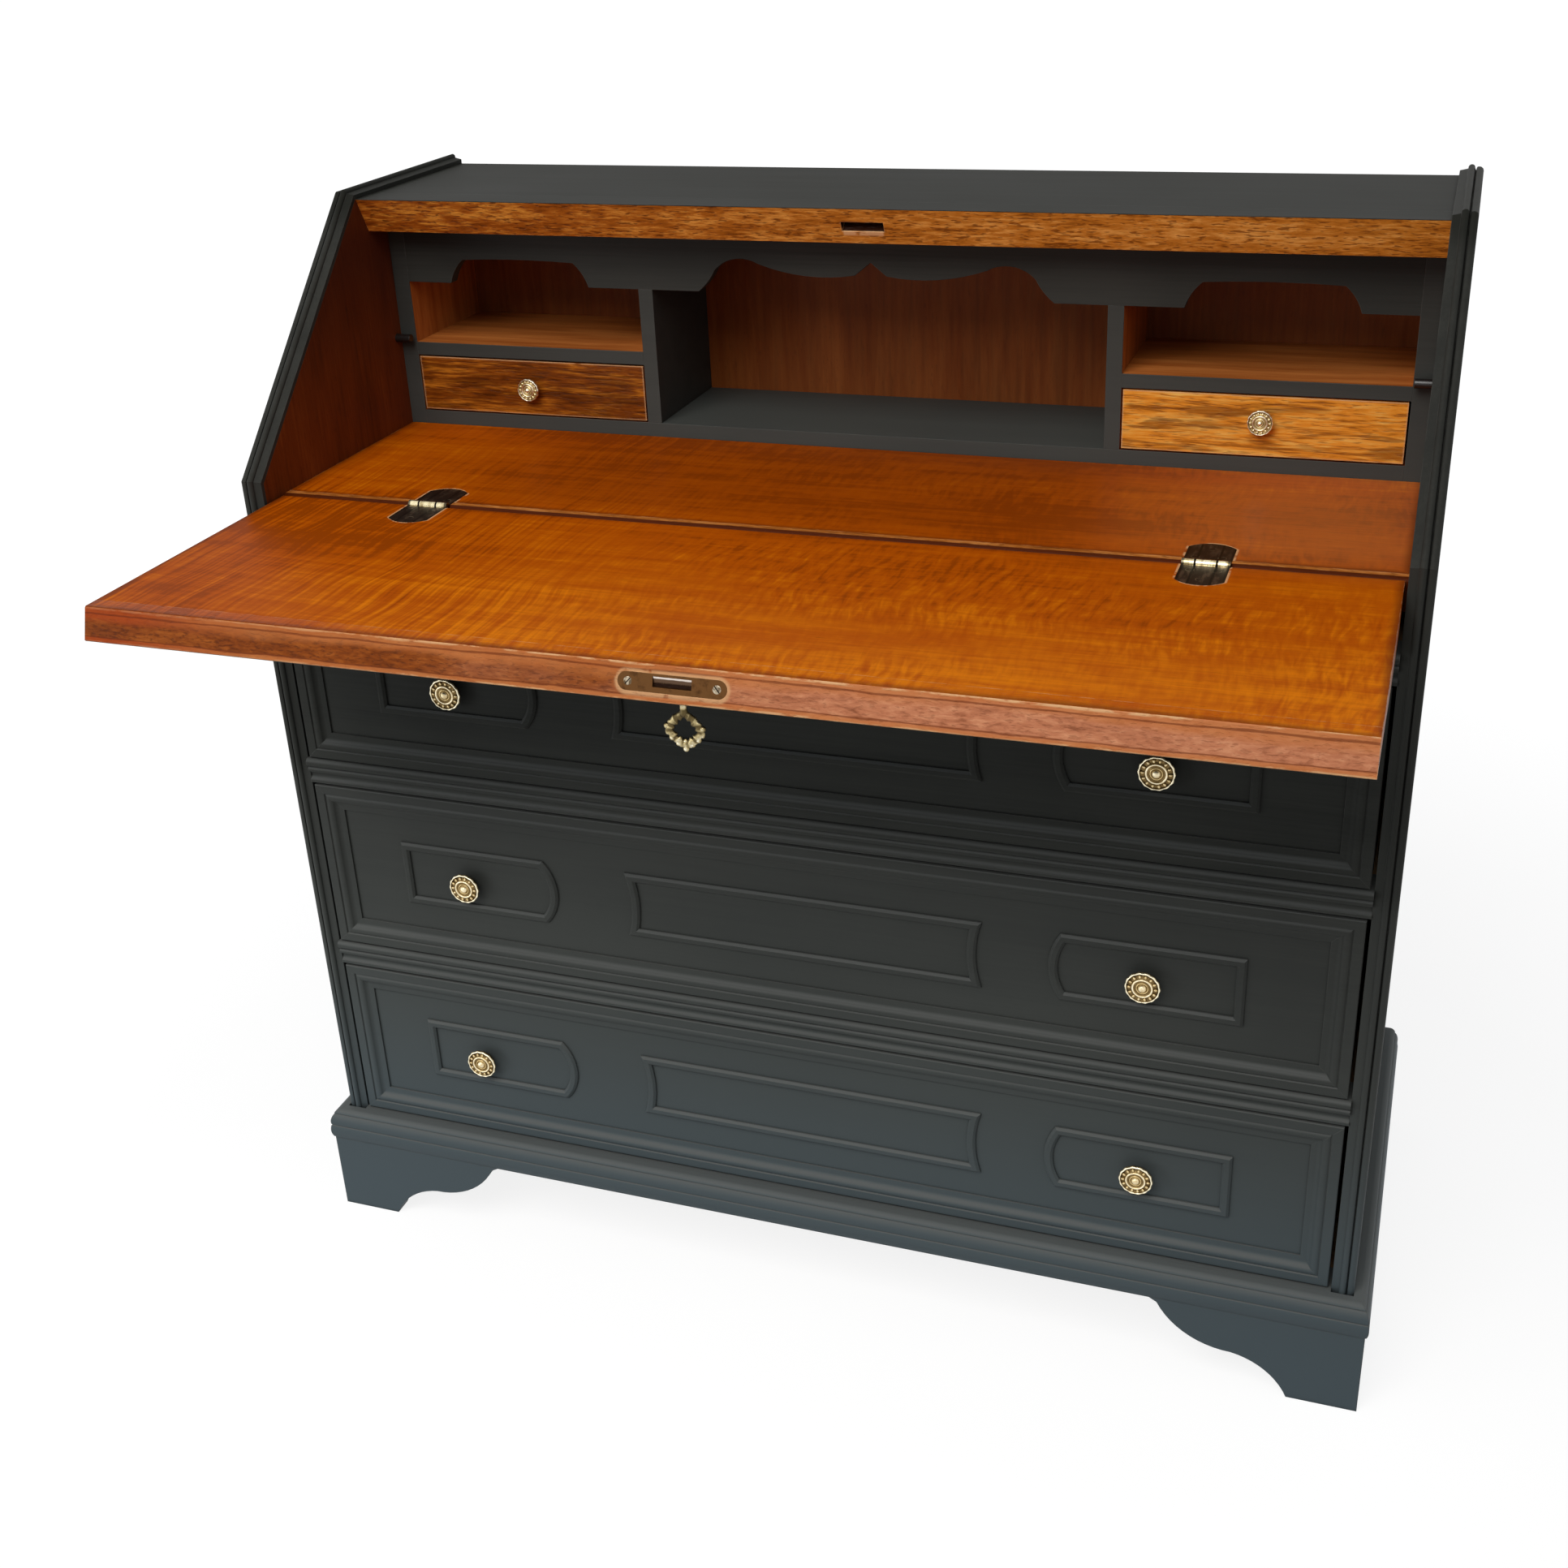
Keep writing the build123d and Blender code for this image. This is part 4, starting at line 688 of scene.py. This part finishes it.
def lipping_finish():
    """The flap's front lipping: dark at the left, rubbed pale at the right, knocked at both edges."""
    low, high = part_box("flap_front_lipping")
    tall = high.z - low.z
    f = Finish("lipping_finish", Specular_IOR_Level=0.05)
    brown = (0.100, 0.022, 0.006), (0.240, 0.054, 0.008), (0.390, 0.104, 0.016)
    salmon = (0.300, 0.095, 0.042), (0.550, 0.200, 0.098), (0.730, 0.320, 0.165)
    dark = open_grained(f, *brown, 0.3, 0.6, 1.6)
    pale = open_grained(f, *salmon, 0.2, 0.4, 1.6)
    patches = f.times(f.minus(f.noise((5, 20, 20), 3, 0.6, 0.5), 0.5), 0.5)
    color = f.mix(f.band(f.plus(f.x, patches), -0.20, 0.12), dark[0], pale[0])
    waver = f.times(f.minus(f.noise((16, 120, 120), 4, 0.6), 0.5), 0.004)
    sway = f.times(f.minus(f.noise((6, 30, 30), 3, 0.6, at=(1, 7, 3)), 0.5), 0.018)
    level = f.plus(f.minus(f.z, low.z), waver)
    rubbed = f.mix(f.noise((30, 120, 120), 3, 0.6), (0.46, 0.105, 0.022), (0.68, 0.260, 0.085))
    rubbed = f.mix(f.band(f.x, -0.30, -0.44), rubbed, (0.400, 0.060, 0.010))
    upper = f.band(f.plus(level, sway), tall - 0.0125, tall - 0.0045)
    worn = f.most(upper, f.band(level, 0.0055, 0.0028))
    color = f.mix(f.times(worn, 0.75), color, rubbed)
    glue_line = f.size(f.minus(level, tall - 0.0045))
    shadow_line = f.size(f.minus(level, 0.0044))
    lines = f.most(f.band(glue_line, 0.0010, 0.0003), f.band(shadow_line, 0.0008, 0.0002))
    color = f.mix(f.times(lines, 0.65), color, (0.140, 0.024, 0.006))
    knocked = f.most(f.band(level, tall - 0.0022, tall - 0.0010), f.band(level, 0.0024, 0.0010))
    chips = f.times(knocked, f.band(f.noise((45, 160, 160), 5, 0.65, at=(0.3, 4.1, 0.9)), 0.42, 0.56))
    handled = f.blend(f.band(f.x, -0.42, -0.08), 0.20, 0.90)
    color = f.mix(f.times(chips, handled), color, PALE_CHIP)
    round_end = (PLATE_HIGH.z - PLATE_LOW.z) / 2
    straight = (PLATE_HIGH.x - PLATE_LOW.x) / 2 - round_end
    beside = f.size(f.minus(f.x, LOCK_X))
    beside = f.most(f.minus(beside, straight), 0.0)
    over = f.minus(f.z, LOCK_Z)
    gap = f.minus(f.math("SQRT", f.plus(f.times(beside, beside), f.times(over, over))), round_end)
    halo = f.times(f.band(gap, 0.0034, 0.0008), f.band(f.noise((70, 70, 70), 4, 0.6), 0.34, 0.50))
    color = f.mix(f.times(halo, 0.65), color, PALE_CHIP)
    # Painted shade: the lock's mortise behind the face is colored near black.
    sloped = f.minus(f.y, f.times(f.minus(f.z, low.z), LIP_SLOPE))
    recess_shade = f.times(f.above(sloped, low.y + 0.0010), f.below(beside, 0.020))
    color = f.mix(recess_shade, color, (0.020, 0.008, 0.004))
    top = f.above(f.z, high.z - 0.0004)
    varnish = burnt_edge(f, curly(f)[0], Vector((low.x, FLAP_EDGE, 0)), FLAP_HIGH, 0.008)
    color = f.mix(top, color, varnish)
    color = chipped(f, color, handled, 0.40, 0.52)
    look = (color, dark[1], dark[2])
    return f.close(f.join(f.below(f.z, low.z + 0.0004), look, painted(f, "x")), 0.00018)


def small_front_finish(name, tones, smoke):
    f = Finish(name, Specular_IOR_Level=0.14)
    color, rough, height = open_grained(f, *tones, smoke, 0.45, 0.55)
    flame = f.band(f.noise((7, 75, 75), 3, 0.6, 1.6, at=(2.2, 5.1, 0.4)), 0.50, 0.60)
    color = f.mix(f.times(flame, smoke), color, tones[0])
    return f.close((chipped(f, color, 0.9, 0.28, 0.44, 0.0030), rough, height), 0.0002)


def nosing_finish():
    """The strip along the bed's front: pale on its crown as a painted highlight, and painted shade
    where it turns down to the flap.
    """
    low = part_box("bed_nosing")[0]
    f = Finish("bed_nosing_finish", Specular_IOR_Level=0.04)
    orange = (0.220, 0.060, 0.008), (0.480, 0.150, 0.025), (0.740, 0.310, 0.090)
    color, rough, height = open_grained(f, *orange, 0.3)
    waver = f.times(f.noise((9, 40, 40), 3, 0.5), 0.002)
    # Painted shade where the strip turns down towards the flap.
    turn = f.band(f.plus(f.y, waver), low.y + 0.0060, low.y + 0.0042)
    return f.close((f.mix(turn, color, (0.080, 0.014, 0.002)), rough, height), 0.0002)


RAIL = rail_finish()
LIPPING = lipping_finish()
SMOKY = (0.050, 0.011, 0.001), (0.220, 0.052, 0.004), (0.620, 0.210, 0.016)
HONEY = (0.170, 0.042, 0.004), (0.880, 0.320, 0.028), (0.990, 0.580, 0.130)
LEFT_FRONT = small_front_finish("left_small_drawer_veneer", SMOKY, 0.40)
RIGHT_FRONT = small_front_finish("right_small_drawer_veneer", HONEY, 0.60)
NOSING = nosing_finish()
print("hardwood finishes ready")

# %% [markdown]
# ## Brass, patina, steel
# The knobs and the key are cast brass, polished on the high spots and brown in the hollows: each
# casting carries how high its points stand, and the key's bow also a painted shade, darker towards its
# top. The plain fittings find their hollows with ambient occlusion, which is dark where a surface is
# crowded by its neighbours. The hinge leaves have gone nearly black while their barrels, which rub as
# the flap moves, stay bright.

# %% Metals
def metal(name, bright, dull, rough, hollow=0.0015, dirt=0.85):
    f = Finish(name, Metallic=1.0)
    blotch = f.noise((160, 160, 160), 4, 0.6)
    clean = f.band(f.crowding(hollow, 8), 0.35, 0.92)
    share = f.times(clean, f.band(blotch, 0.25, 0.55))
    share = f.plus(1.0 - dirt, f.times(share, dirt))
    color = f.mix(share, dull, bright)
    roughness = f.plus(rough, f.times(f.minus(1.0, share), 0.35))
    scratches = f.noise((900, 900, 900), 3, 0.6)
    return f.close((color, roughness, scratches), 0.00004, 0.0003)


BRASS = metal("cast_brass", (0.80, 0.68, 0.42), (0.115, 0.070, 0.022), 0.22, 0.0022, 0.97)


def relief_brass(name, tones, rough):
    """Cast brass whose high spots are polished; the castings carry how high each point stands, and the
    key also a painted shade.
    """
    hollow, middle, high = tones
    f = Finish(name, Metallic=1.0)
    relief_and_shade = f.node("ShaderNodeAttribute", attribute_name="relief_and_shade").outputs["Fac"]
    blotch = f.noise((260, 260, 260), 4, 0.65)
    level = f.plus(relief_and_shade, f.times(f.minus(blotch, 0.5), 0.9))
    color = f.mix(f.band(level, 0.05, 0.45), hollow, middle)
    color = f.mix(f.band(level, 0.45, 0.95), color, high)
    # Painted shade: brass higher up, in the flap's shadow, is darkened.
    color = f.mix(f.times(f.band(f.z, 0.45, 0.60), 0.16), color, hollow)
    roughness = f.minus(rough, f.times(f.band(level, 0.2, 0.9), 0.14))
    return f.close((color, roughness, blotch), 0.00006, 0.0002)


ROSE_TONES = (0.190, 0.125, 0.048), (0.600, 0.450, 0.210), (0.960, 0.870, 0.640)
# Painted highlight: a paler copy of the knobs' brass for the small knobs, standing in for a bright
# reflection.
PAINTED_HIGHLIGHT_TONES = (0.460, 0.350, 0.160), (1.0, 0.88, 0.56), (1.0, 0.98, 0.84)
KEY_TONES = (0.110, 0.080, 0.034), (0.480, 0.390, 0.200), (1.0, 0.95, 0.76)
ROSE_BRASS = relief_brass("relief_brass", ROSE_TONES, 0.52)
HIGHLIGHT_PAINTED_BRASS = relief_brass("brass_painted_highlight", PAINTED_HIGHLIGHT_TONES, 0.44)
KEY_BRASS = relief_brass("key_brass", KEY_TONES, 0.46)


HINGE_SCREWS = (0.010, 0.014), (0.0, 0.033)
PLATE_SCREW = 0.0325


def screw_finish():
    """Brassed heads with a dark slot; the two round ends of the lock plate show theirs upright."""
    f = Finish("worn_screws", Metallic=1.0)
    side = f.size(beside_hinge(f))
    reach = f.size(f.minus(f.y, PIN_Y))
    slot = 0.0
    for centre_x, centre_y in HINGE_SCREWS:
        off_x = f.minus(side, centre_x)
        off_y = f.minus(reach, centre_y)
        line = f.plus(f.times(off_x, 0.6), f.times(off_y, 0.8))
        near = f.below(f.most(f.size(off_x), f.size(off_y)), 0.004)
        slot = f.most(slot, f.times(near, f.band(f.size(line), 0.0006, 0.0004)))
    on_plate = f.below(f.y, FLAP_LOW.y + 0.03)
    turn = f.minus(f.size(f.minus(f.x, LOCK_X)), PLATE_SCREW)
    tilt = f.times(f.minus(f.z, (FLAP_LOW.z + FLAP_HIGH.z) / 2), 0.9)
    plate_slot = f.band(f.size(f.plus(turn, tilt)), 0.0007, 0.0004)
    slot = f.blend(on_plate, slot, plate_slot)
    grime = f.band(f.noise((300, 300, 300), 3, 0.6), 0.35, 0.60)
    color = f.mix(grime, (0.120, 0.080, 0.045), (0.52, 0.44, 0.32))
    color = f.mix(slot, color, (0.012, 0.009, 0.007))
    return f.close((color, f.plus(0.28, f.times(slot, 0.5)), grime), 0.00004, 0.0003)


SCREWS = screw_finish()
LOCK = metal("bronzed_lock_metal", (0.115, 0.052, 0.018), (0.036, 0.015, 0.006), 0.42, 0.002, 0.7)


def bolt_finish():
    """Steel that shines along the two edges which slide, and is brown between them."""
    low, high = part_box("lock_bolt")
    f = Finish("worn_bolt_steel", Metallic=1.0)
    rub = f.noise((300, 300, 300), 4, 0.6)
    level = f.plus(f.z, f.times(f.minus(rub, 0.5), 0.0008))
    upper = f.band(level, high.z - 0.0016, high.z - 0.0009)
    lower = f.band(level, low.z + 0.0009, low.z + 0.0004)
    worn = f.most(upper, lower)
    color = f.mix(worn, (0.105, 0.062, 0.038), (0.66, 0.58, 0.52))
    return f.close((color, f.plus(0.30, f.times(rub, 0.2)), rub), 0.00004, 0.0003)


BOLT = bolt_finish()


def hinge_finish():
    f = Finish("hinge_patina", Metallic=1.0)
    off_y = f.minus(f.y, PIN_Y)
    off_z = f.minus(f.z, (PIN_LOW.z + PIN_HIGH.z) / 2)
    reach = f.math("SQRT", f.plus(f.times(off_y, off_y), f.times(off_z, off_z)))
    barrel = f.band(reach, 0.0050, 0.0038)
    rub = f.noise((200, 60, 60), 4, 0.6)
    patina = f.mix(f.band(rub, 0.45, 0.7), (0.040, 0.026, 0.018), (0.150, 0.105, 0.070))
    brass = f.mix(f.band(rub, 0.35, 0.6), (0.42, 0.33, 0.17), (0.82, 0.72, 0.46))
    color = f.mix(barrel, patina, brass)
    worn = f.times(f.edges(0.0008, 0.80, 0.97), f.band(f.noise((120, 120, 120), 4, 0.6), 0.4, 0.6))
    color = f.mix(f.times(worn, 0.7), color, (0.66, 0.56, 0.38))
    along = f.size(beside_hinge(f))
    joint = f.band(f.size(f.minus(along, 0.0081)), 0.0011, 0.0006)
    end = f.times(f.band(along, 0.0152, 0.0168), 0.85)
    color = f.mix(f.most(joint, end), color, (0.010, 0.008, 0.006))
    roughness = f.blend(barrel, 0.42, 0.25)
    return f.close((color, roughness, rub), 0.00006, 0.0004)


def dark_dowel(f, along):
    grain = f.noise(streaks(along, 40, 500), 3, 0.5)
    color = f.mix(grain, (0.006, 0.005, 0.005), (0.018, 0.014, 0.012))
    return color, f.plus(0.16, f.times(grain, 0.12)), grain


HINGE = hinge_finish()
PEG = plain_finish("dark_peg", dark_dowel, "x")
print("metals", BRASS.name, HINGE.name, LOCK.name)

# %% [markdown]
# ## Finishes onto the joinery
# Each node of the frame keeps its mesh and gets its finish by name. A board that has been left out
# would show at once as plain grey, so the list is checked against the frame.

# %% Assign finishes
USES = [
    (SIDES, "side_panel_left side_panel_right"),
    (PAINT["z"], "edge_mouldings"),
    (PAINT["x"], "top_board loper_rail bottom_rail"),
    (PAINT["x"], "lower_drawer_rail middle_drawer_rail upper_drawer_rail"),
    (PAINT["x"], "lower_drawer_front middle_drawer_front upper_drawer_front"),
    (PAINT["x"], "lower_drawer_mouldings middle_drawer_mouldings upper_drawer_mouldings"),
    (PAINT["xy"], "base_mouldings front_bracket_feet side_bracket_feet"),
    (RAIL, "top_front_rail"),
    (BED_VARNISH, "writing_bed"),
    (NOSING, "bed_nosing"),
    (FLAP_VARNISH, "flap_panel"),
    (LIPPING, "flap_front_lipping"),
    (GALLERY_UPRIGHTS, "gallery_end_panels gallery_dividers"),
    (GALLERY_SHELF, "gallery_shelves"),
    (GALLERY_FLOOR, "gallery_floor"),
    (GALLERY_BACK, "gallery_back"),
    (PEG, "gallery_pegs"),
    (VALANCE, "gallery_valance"),
    (LOPERS, "loper_left loper_right"),
    (LEFT_FRONT, "left_small_drawer_front"),
    (RIGHT_FRONT, "right_small_drawer_front"),
    (BARE["x"], "back_panel bottom_board back_feet foot_corner_blocks"),
    (BARE["y"], "drawer_runners loper_guides left_small_drawer_box right_small_drawer_box"),
    (BARE["y"], "lower_drawer_box middle_drawer_box upper_drawer_box"),
    (BRASS, "lower_drawer_knobs middle_drawer_knobs upper_drawer_knobs"),
    (BRASS, "left_small_drawer_knob right_small_drawer_knob key key_escutcheon"),
    (HINGE, "hinge_bed_leaves hinge_flap_leaves hinge_pins"),
    (SCREWS, "hinge_bed_screws flap_screws"),
    (LOCK, "lock_case lock_face_plate"),
    (BOLT, "lock_bolt"),
]
finished = set()
for material, names in USES:
    for name in names.split():
        mesh = NODES[name].data
        mesh.materials.clear()
        mesh.materials.append(material)
        finished.add(name)
print("finished", len(finished), "left out", sorted(set(NODES) - finished))

# %% [markdown]
# ## Rosette knobs
# The knobs are stamped brass roses on a waisted neck, held by a screw from behind. The face is a lathe
# form: a domed boss, two fine rings, a hollow with a circle of petals, and a lobed rim. One turned
# section gives the rings and neck, and small flattened balls give the petals. Each drawer's knobs are
# one piece, placed from the box of the plain knobs that they stand for.

# %% Rosette knobs
def bead(inner, outer, base, rise, steps=6):
    """Section of a half-round ring between two radii."""
    middle, half = (inner + outer) / 2, (outer - inner) / 2
    turns = [pi * i / steps for i in range(steps + 1)]
    return [(middle - half * cos(turn), base + rise * sin(turn)) for turn in turns]


def spun(bm, geom, steps):
    """Sweeps loose edges once round the Z axis."""
    whole = {"cent": (0, 0, 0), "axis": (0, 0, 1), "angle": 2 * pi}
    bmesh.ops.spin(bm, geom=geom, steps=steps, use_merge=True, **whole)


def turned(bm, section, steps):
    """A form turned about Z from a section of (radius, height)."""
    verts = [bm.verts.new((radius, 0, height)) for radius, height in section]
    edges = [bm.edges.new(pair) for pair in zip(verts, verts[1:])]
    spun(bm, verts + edges, steps)


def finish_piece(name, bm, body, material, stands_for):
    bmesh.ops.remove_doubles(bm, verts=bm.verts, dist=1e-6)
    bmesh.ops.recalc_face_normals(bm, faces=bm.faces)
    for face in bm.faces:
        face.smooth = True
    mesh = bpy.data.meshes.new(name)
    bm.to_mesh(mesh)
    bm.free()
    piece = bpy.data.objects.new(name, mesh)
    bpy.context.scene.collection.objects.link(piece)
    mesh.materials.append(material)
    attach(piece, body)
    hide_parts(stands_for)
    return piece


BOSS = 0.24
RELIEF = 0.0014


def rosette_knob(bm, centre, radius, stem, depth, petals=14):
    """One knob at centre on a drawer's face; depth is how far its screw reaches behind."""
    rose = bmesh.new()
    relief_and_shade = rose.verts.layers.float.new("relief_and_shade")
    floor = stem - 0.0030
    quarter = [pi / 2 * i / 5 for i in range(6)]
    boss = [(BOSS * radius * sin(turn), floor + 0.0030 * cos(turn)) for turn in quarter]
    section = boss + bead(0.27 * radius, 0.36 * radius, floor, 0.0007)
    section += bead(0.46 * radius, 0.60 * radius, floor - 0.0002, RELIEF)
    section += bead(0.84 * radius, radius, floor - RELIEF, 0.0019)
    section += [(0.96 * radius, floor - 0.0026), (0.55 * radius, floor - 0.0044)]
    section += [(0.30 * radius, floor - 0.0066), (0.25 * radius, 0.0030)]
    section += [(0.42 * radius, 0.0014), (0.42 * radius, 0.0), (0.0, 0.0)]
    turned(rose, section, 4 * petals)
    for vert in rose.verts:
        out = vert.co.to_2d().length
        if out > 0.90 * radius:
            lobe = cos(petals * atan2(vert.co.y, vert.co.x))
            vert.co.xy *= 0.975 + 0.022 * lobe
    for i in range(petals):
        place = Matrix.Translation((0.72 * radius, 0, floor - 0.0003))
        petal = place @ Matrix.Diagonal((0.115 * radius, 0.085 * radius, 0.0013, 1.0))
        petal = Matrix.Rotation(2 * pi * i / petals, 4, "Z") @ petal
        bmesh.ops.create_icosphere(rose, subdivisions=2, radius=1.0, matrix=petal)
    for vert in rose.verts:
        out = vert.co.to_2d().length / radius
        base = floor - (RELIEF if out > 0.86 else 0.0)
        shine = 0.68 if out < BOSS + 0.01 else 1.0
        vert[relief_and_shade] = min(shine, max(0.0, (vert.co.z - base) / RELIEF))
    back = -depth
    screw = [(0.0020, 0.0), (0.0020, back + 0.002), (0.0040, back + 0.002)]
    screw += [(0.0040, back + 0.0007), (0.0033, back), (0.0, back)]
    turned(rose, screw, 24)
    rose.transform(Matrix.Translation(centre) @ Matrix.Rotation(pi / 2, 4, "X"))
    copy = bpy.data.meshes.new("rosette")
    rose.to_mesh(copy)
    rose.free()
    bm.from_mesh(copy)
    bpy.data.meshes.remove(copy)


def drawer_knobs(drawer, node, radius, stem, brass):
    low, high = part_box(node)
    middle = (low.z + high.z) / 2
    face = low.y + stem
    bm = bmesh.new()
    bm.verts.layers.float.new("relief_and_shade")
    for x in sorted({round(low.x + radius, 6), round(high.x - radius, 6)}):
        rosette_knob(bm, (x, face, middle), radius, stem, high.y - face)
    return finish_piece(node.replace("knob", "rosette_knob"), bm, drawer, brass, node)


LARGE_ROSES = [
    drawer_knobs(drawer, drawer + "_knobs", 0.015, 0.014, ROSE_BRASS)
    for drawer in ("lower_drawer", "middle_drawer", "upper_drawer")
]
SMALL_ROSES = [
    drawer_knobs(drawer, drawer + "_knob", 0.011, 0.012, HIGHLIGHT_PAINTED_BRASS)
    for drawer in ("left_small_drawer", "right_small_drawer")
]
print("knobs", [(rose.name, len(rose.data.polygons)) for rose in LARGE_ROSES + SMALL_ROSES])

# %% [markdown]
# ## Scroll key
# The key hangs in the flap's lock by its shank, and its cast bow is an open lozenge of leafy scrolls
# with a small finial below. A ring is spun and then reshaped by one rule: its path swells to the sides,
# and its thickness rises and falls as the leaves do. Small flattened balls are the tips of the leaves.
# Collar and shank are one turned form, and the bit is a small eased block at the end of the shank.

# %% Scroll key
BOW_HALF = 0.0165
BOW_SIDE, BOW_UP, BOW_DOWN = 0.0118, 0.0128, 0.0108
BOW_POWER = 1.35
BIT_PLACE = (0.0035, 0, 0.7311)
BIT_SIZE = (0.0050, 0.0022, 0.0040, 1.0)
LEAF_PAIRS = (
    (0.0134, 0.0024, 0.0024),
    (0.0128, -0.0026, 0.0020),
    (0.0098, -0.0062, 0.0024),
    (0.0052, -0.0100, 0.0024),
    (0.0110, 0.0056, 0.0018),
    (0.0076, 0.0086, 0.0022),
    (0.0040, -0.0060, 0.0014),
)


def scroll_key():
    low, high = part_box("key")
    centre = Vector((low.x + BOW_HALF, (low.y + high.y) / 2, low.z + BOW_HALF))
    bm = bmesh.new()
    relief_and_shade = bm.verts.layers.float.new("relief_and_shade")
    upright = Matrix.Translation((1, 0, 0)) @ Matrix.Rotation(pi / 2, 4, "X")
    ring = bmesh.ops.create_circle(bm, segments=12, radius=0.2, matrix=upright)
    spun(bm, ring["verts"] + bm.edges[:], 96)
    for vert in bm.verts:
        turn = atan2(vert.co.x, vert.co.y)
        off = vert.co.to_2d().length - 1.0
        side = abs(sin(turn)) / BOW_SIDE
        tip = abs(cos(turn)) / (BOW_UP if cos(turn) > 0 else BOW_DOWN)
        path = (side ** BOW_POWER + tip ** BOW_POWER) ** (-1 / BOW_POWER)
        leaf = 1.0 + 0.07 * cos(7 * turn) - 0.07 * cos(11 * turn) + 0.06 * cos(18 * turn)
        reach = path + 0.0005 * cos(11 * turn) + off * 0.0155 * leaf
        # Painted shade: the bow is darker towards its top and lighter below.
        vert[relief_and_shade] = 0.20 + 2.6 * (leaf - 1.0) + 1.2 * off - 0.25 * cos(turn)
        vert.co = Vector((reach * sin(turn), vert.co.z * 0.0096 * leaf, reach * cos(turn)))
    leaves = [(0, -0.0140, 0.0023), (0, -0.0080, 0.0018)]
    for x, z, size in LEAF_PAIRS:
        leaves += [(x, z, size), (-x, z, size)]
    for x, z, size in leaves:
        leaf = Matrix.Translation((x, 0, z)) @ Matrix.Diagonal((size, 0.8 * size, size, 1.0))
        ball = bmesh.ops.create_icosphere(bm, subdivisions=2, radius=1.0, matrix=leaf)
        for vert in ball["verts"]:
            # Painted shade: the leaf tips are darker the higher they sit.
            vert[relief_and_shade] = 0.85 - 0.7 * (vert.co - Vector((x, -0.8 * size, z))).length / size - 18.0 * z
    bm.transform(Matrix.Translation((0, 0, centre.z)))
    collar, top, shank = centre.z + 0.0215, high.z, 0.0025
    section = [(0.0, centre.z + 0.0105), (0.0024, centre.z + 0.0110), (0.0030, centre.z + 0.0140)]
    section += [(shank, centre.z + 0.0160), (shank, centre.z + 0.0180), (shank, collar)]
    section += [(0.0038, collar + 0.0003), (0.00425, collar + 0.00175)]
    section += [(0.0038, collar + 0.0032), (shank, collar + 0.0035)]
    section += [(shank, top - 0.0004), (shank - 0.0004, top), (0.0, top)]
    turned(bm, section, 32)
    block = Matrix.Translation(BIT_PLACE) @ Matrix.Diagonal(BIT_SIZE)
    bit = bmesh.ops.create_cube(bm, size=1.0, matrix=block)
    sharp = list({edge for vert in bit["verts"] for edge in vert.link_edges})
    easing = {"offset": 0.0003, "segments": 2, "profile": 0.5, "affect": "EDGES", "material": -1}
    bmesh.ops.bevel(bm, geom=sharp, **easing)
    for vert in bm.verts:
        if vert.co.z > centre.z + 0.0165:
            vert[relief_and_shade] = 0.55
    bm.transform(Matrix.Translation((centre.x, centre.y, 0)))
    return finish_piece("scroll_key", bm, "key", KEY_BRASS, "key")


KEY = scroll_key()
print("key", len(KEY.data.polygons), [round(v, 4) for v in KEY.data.vertices[0].co])
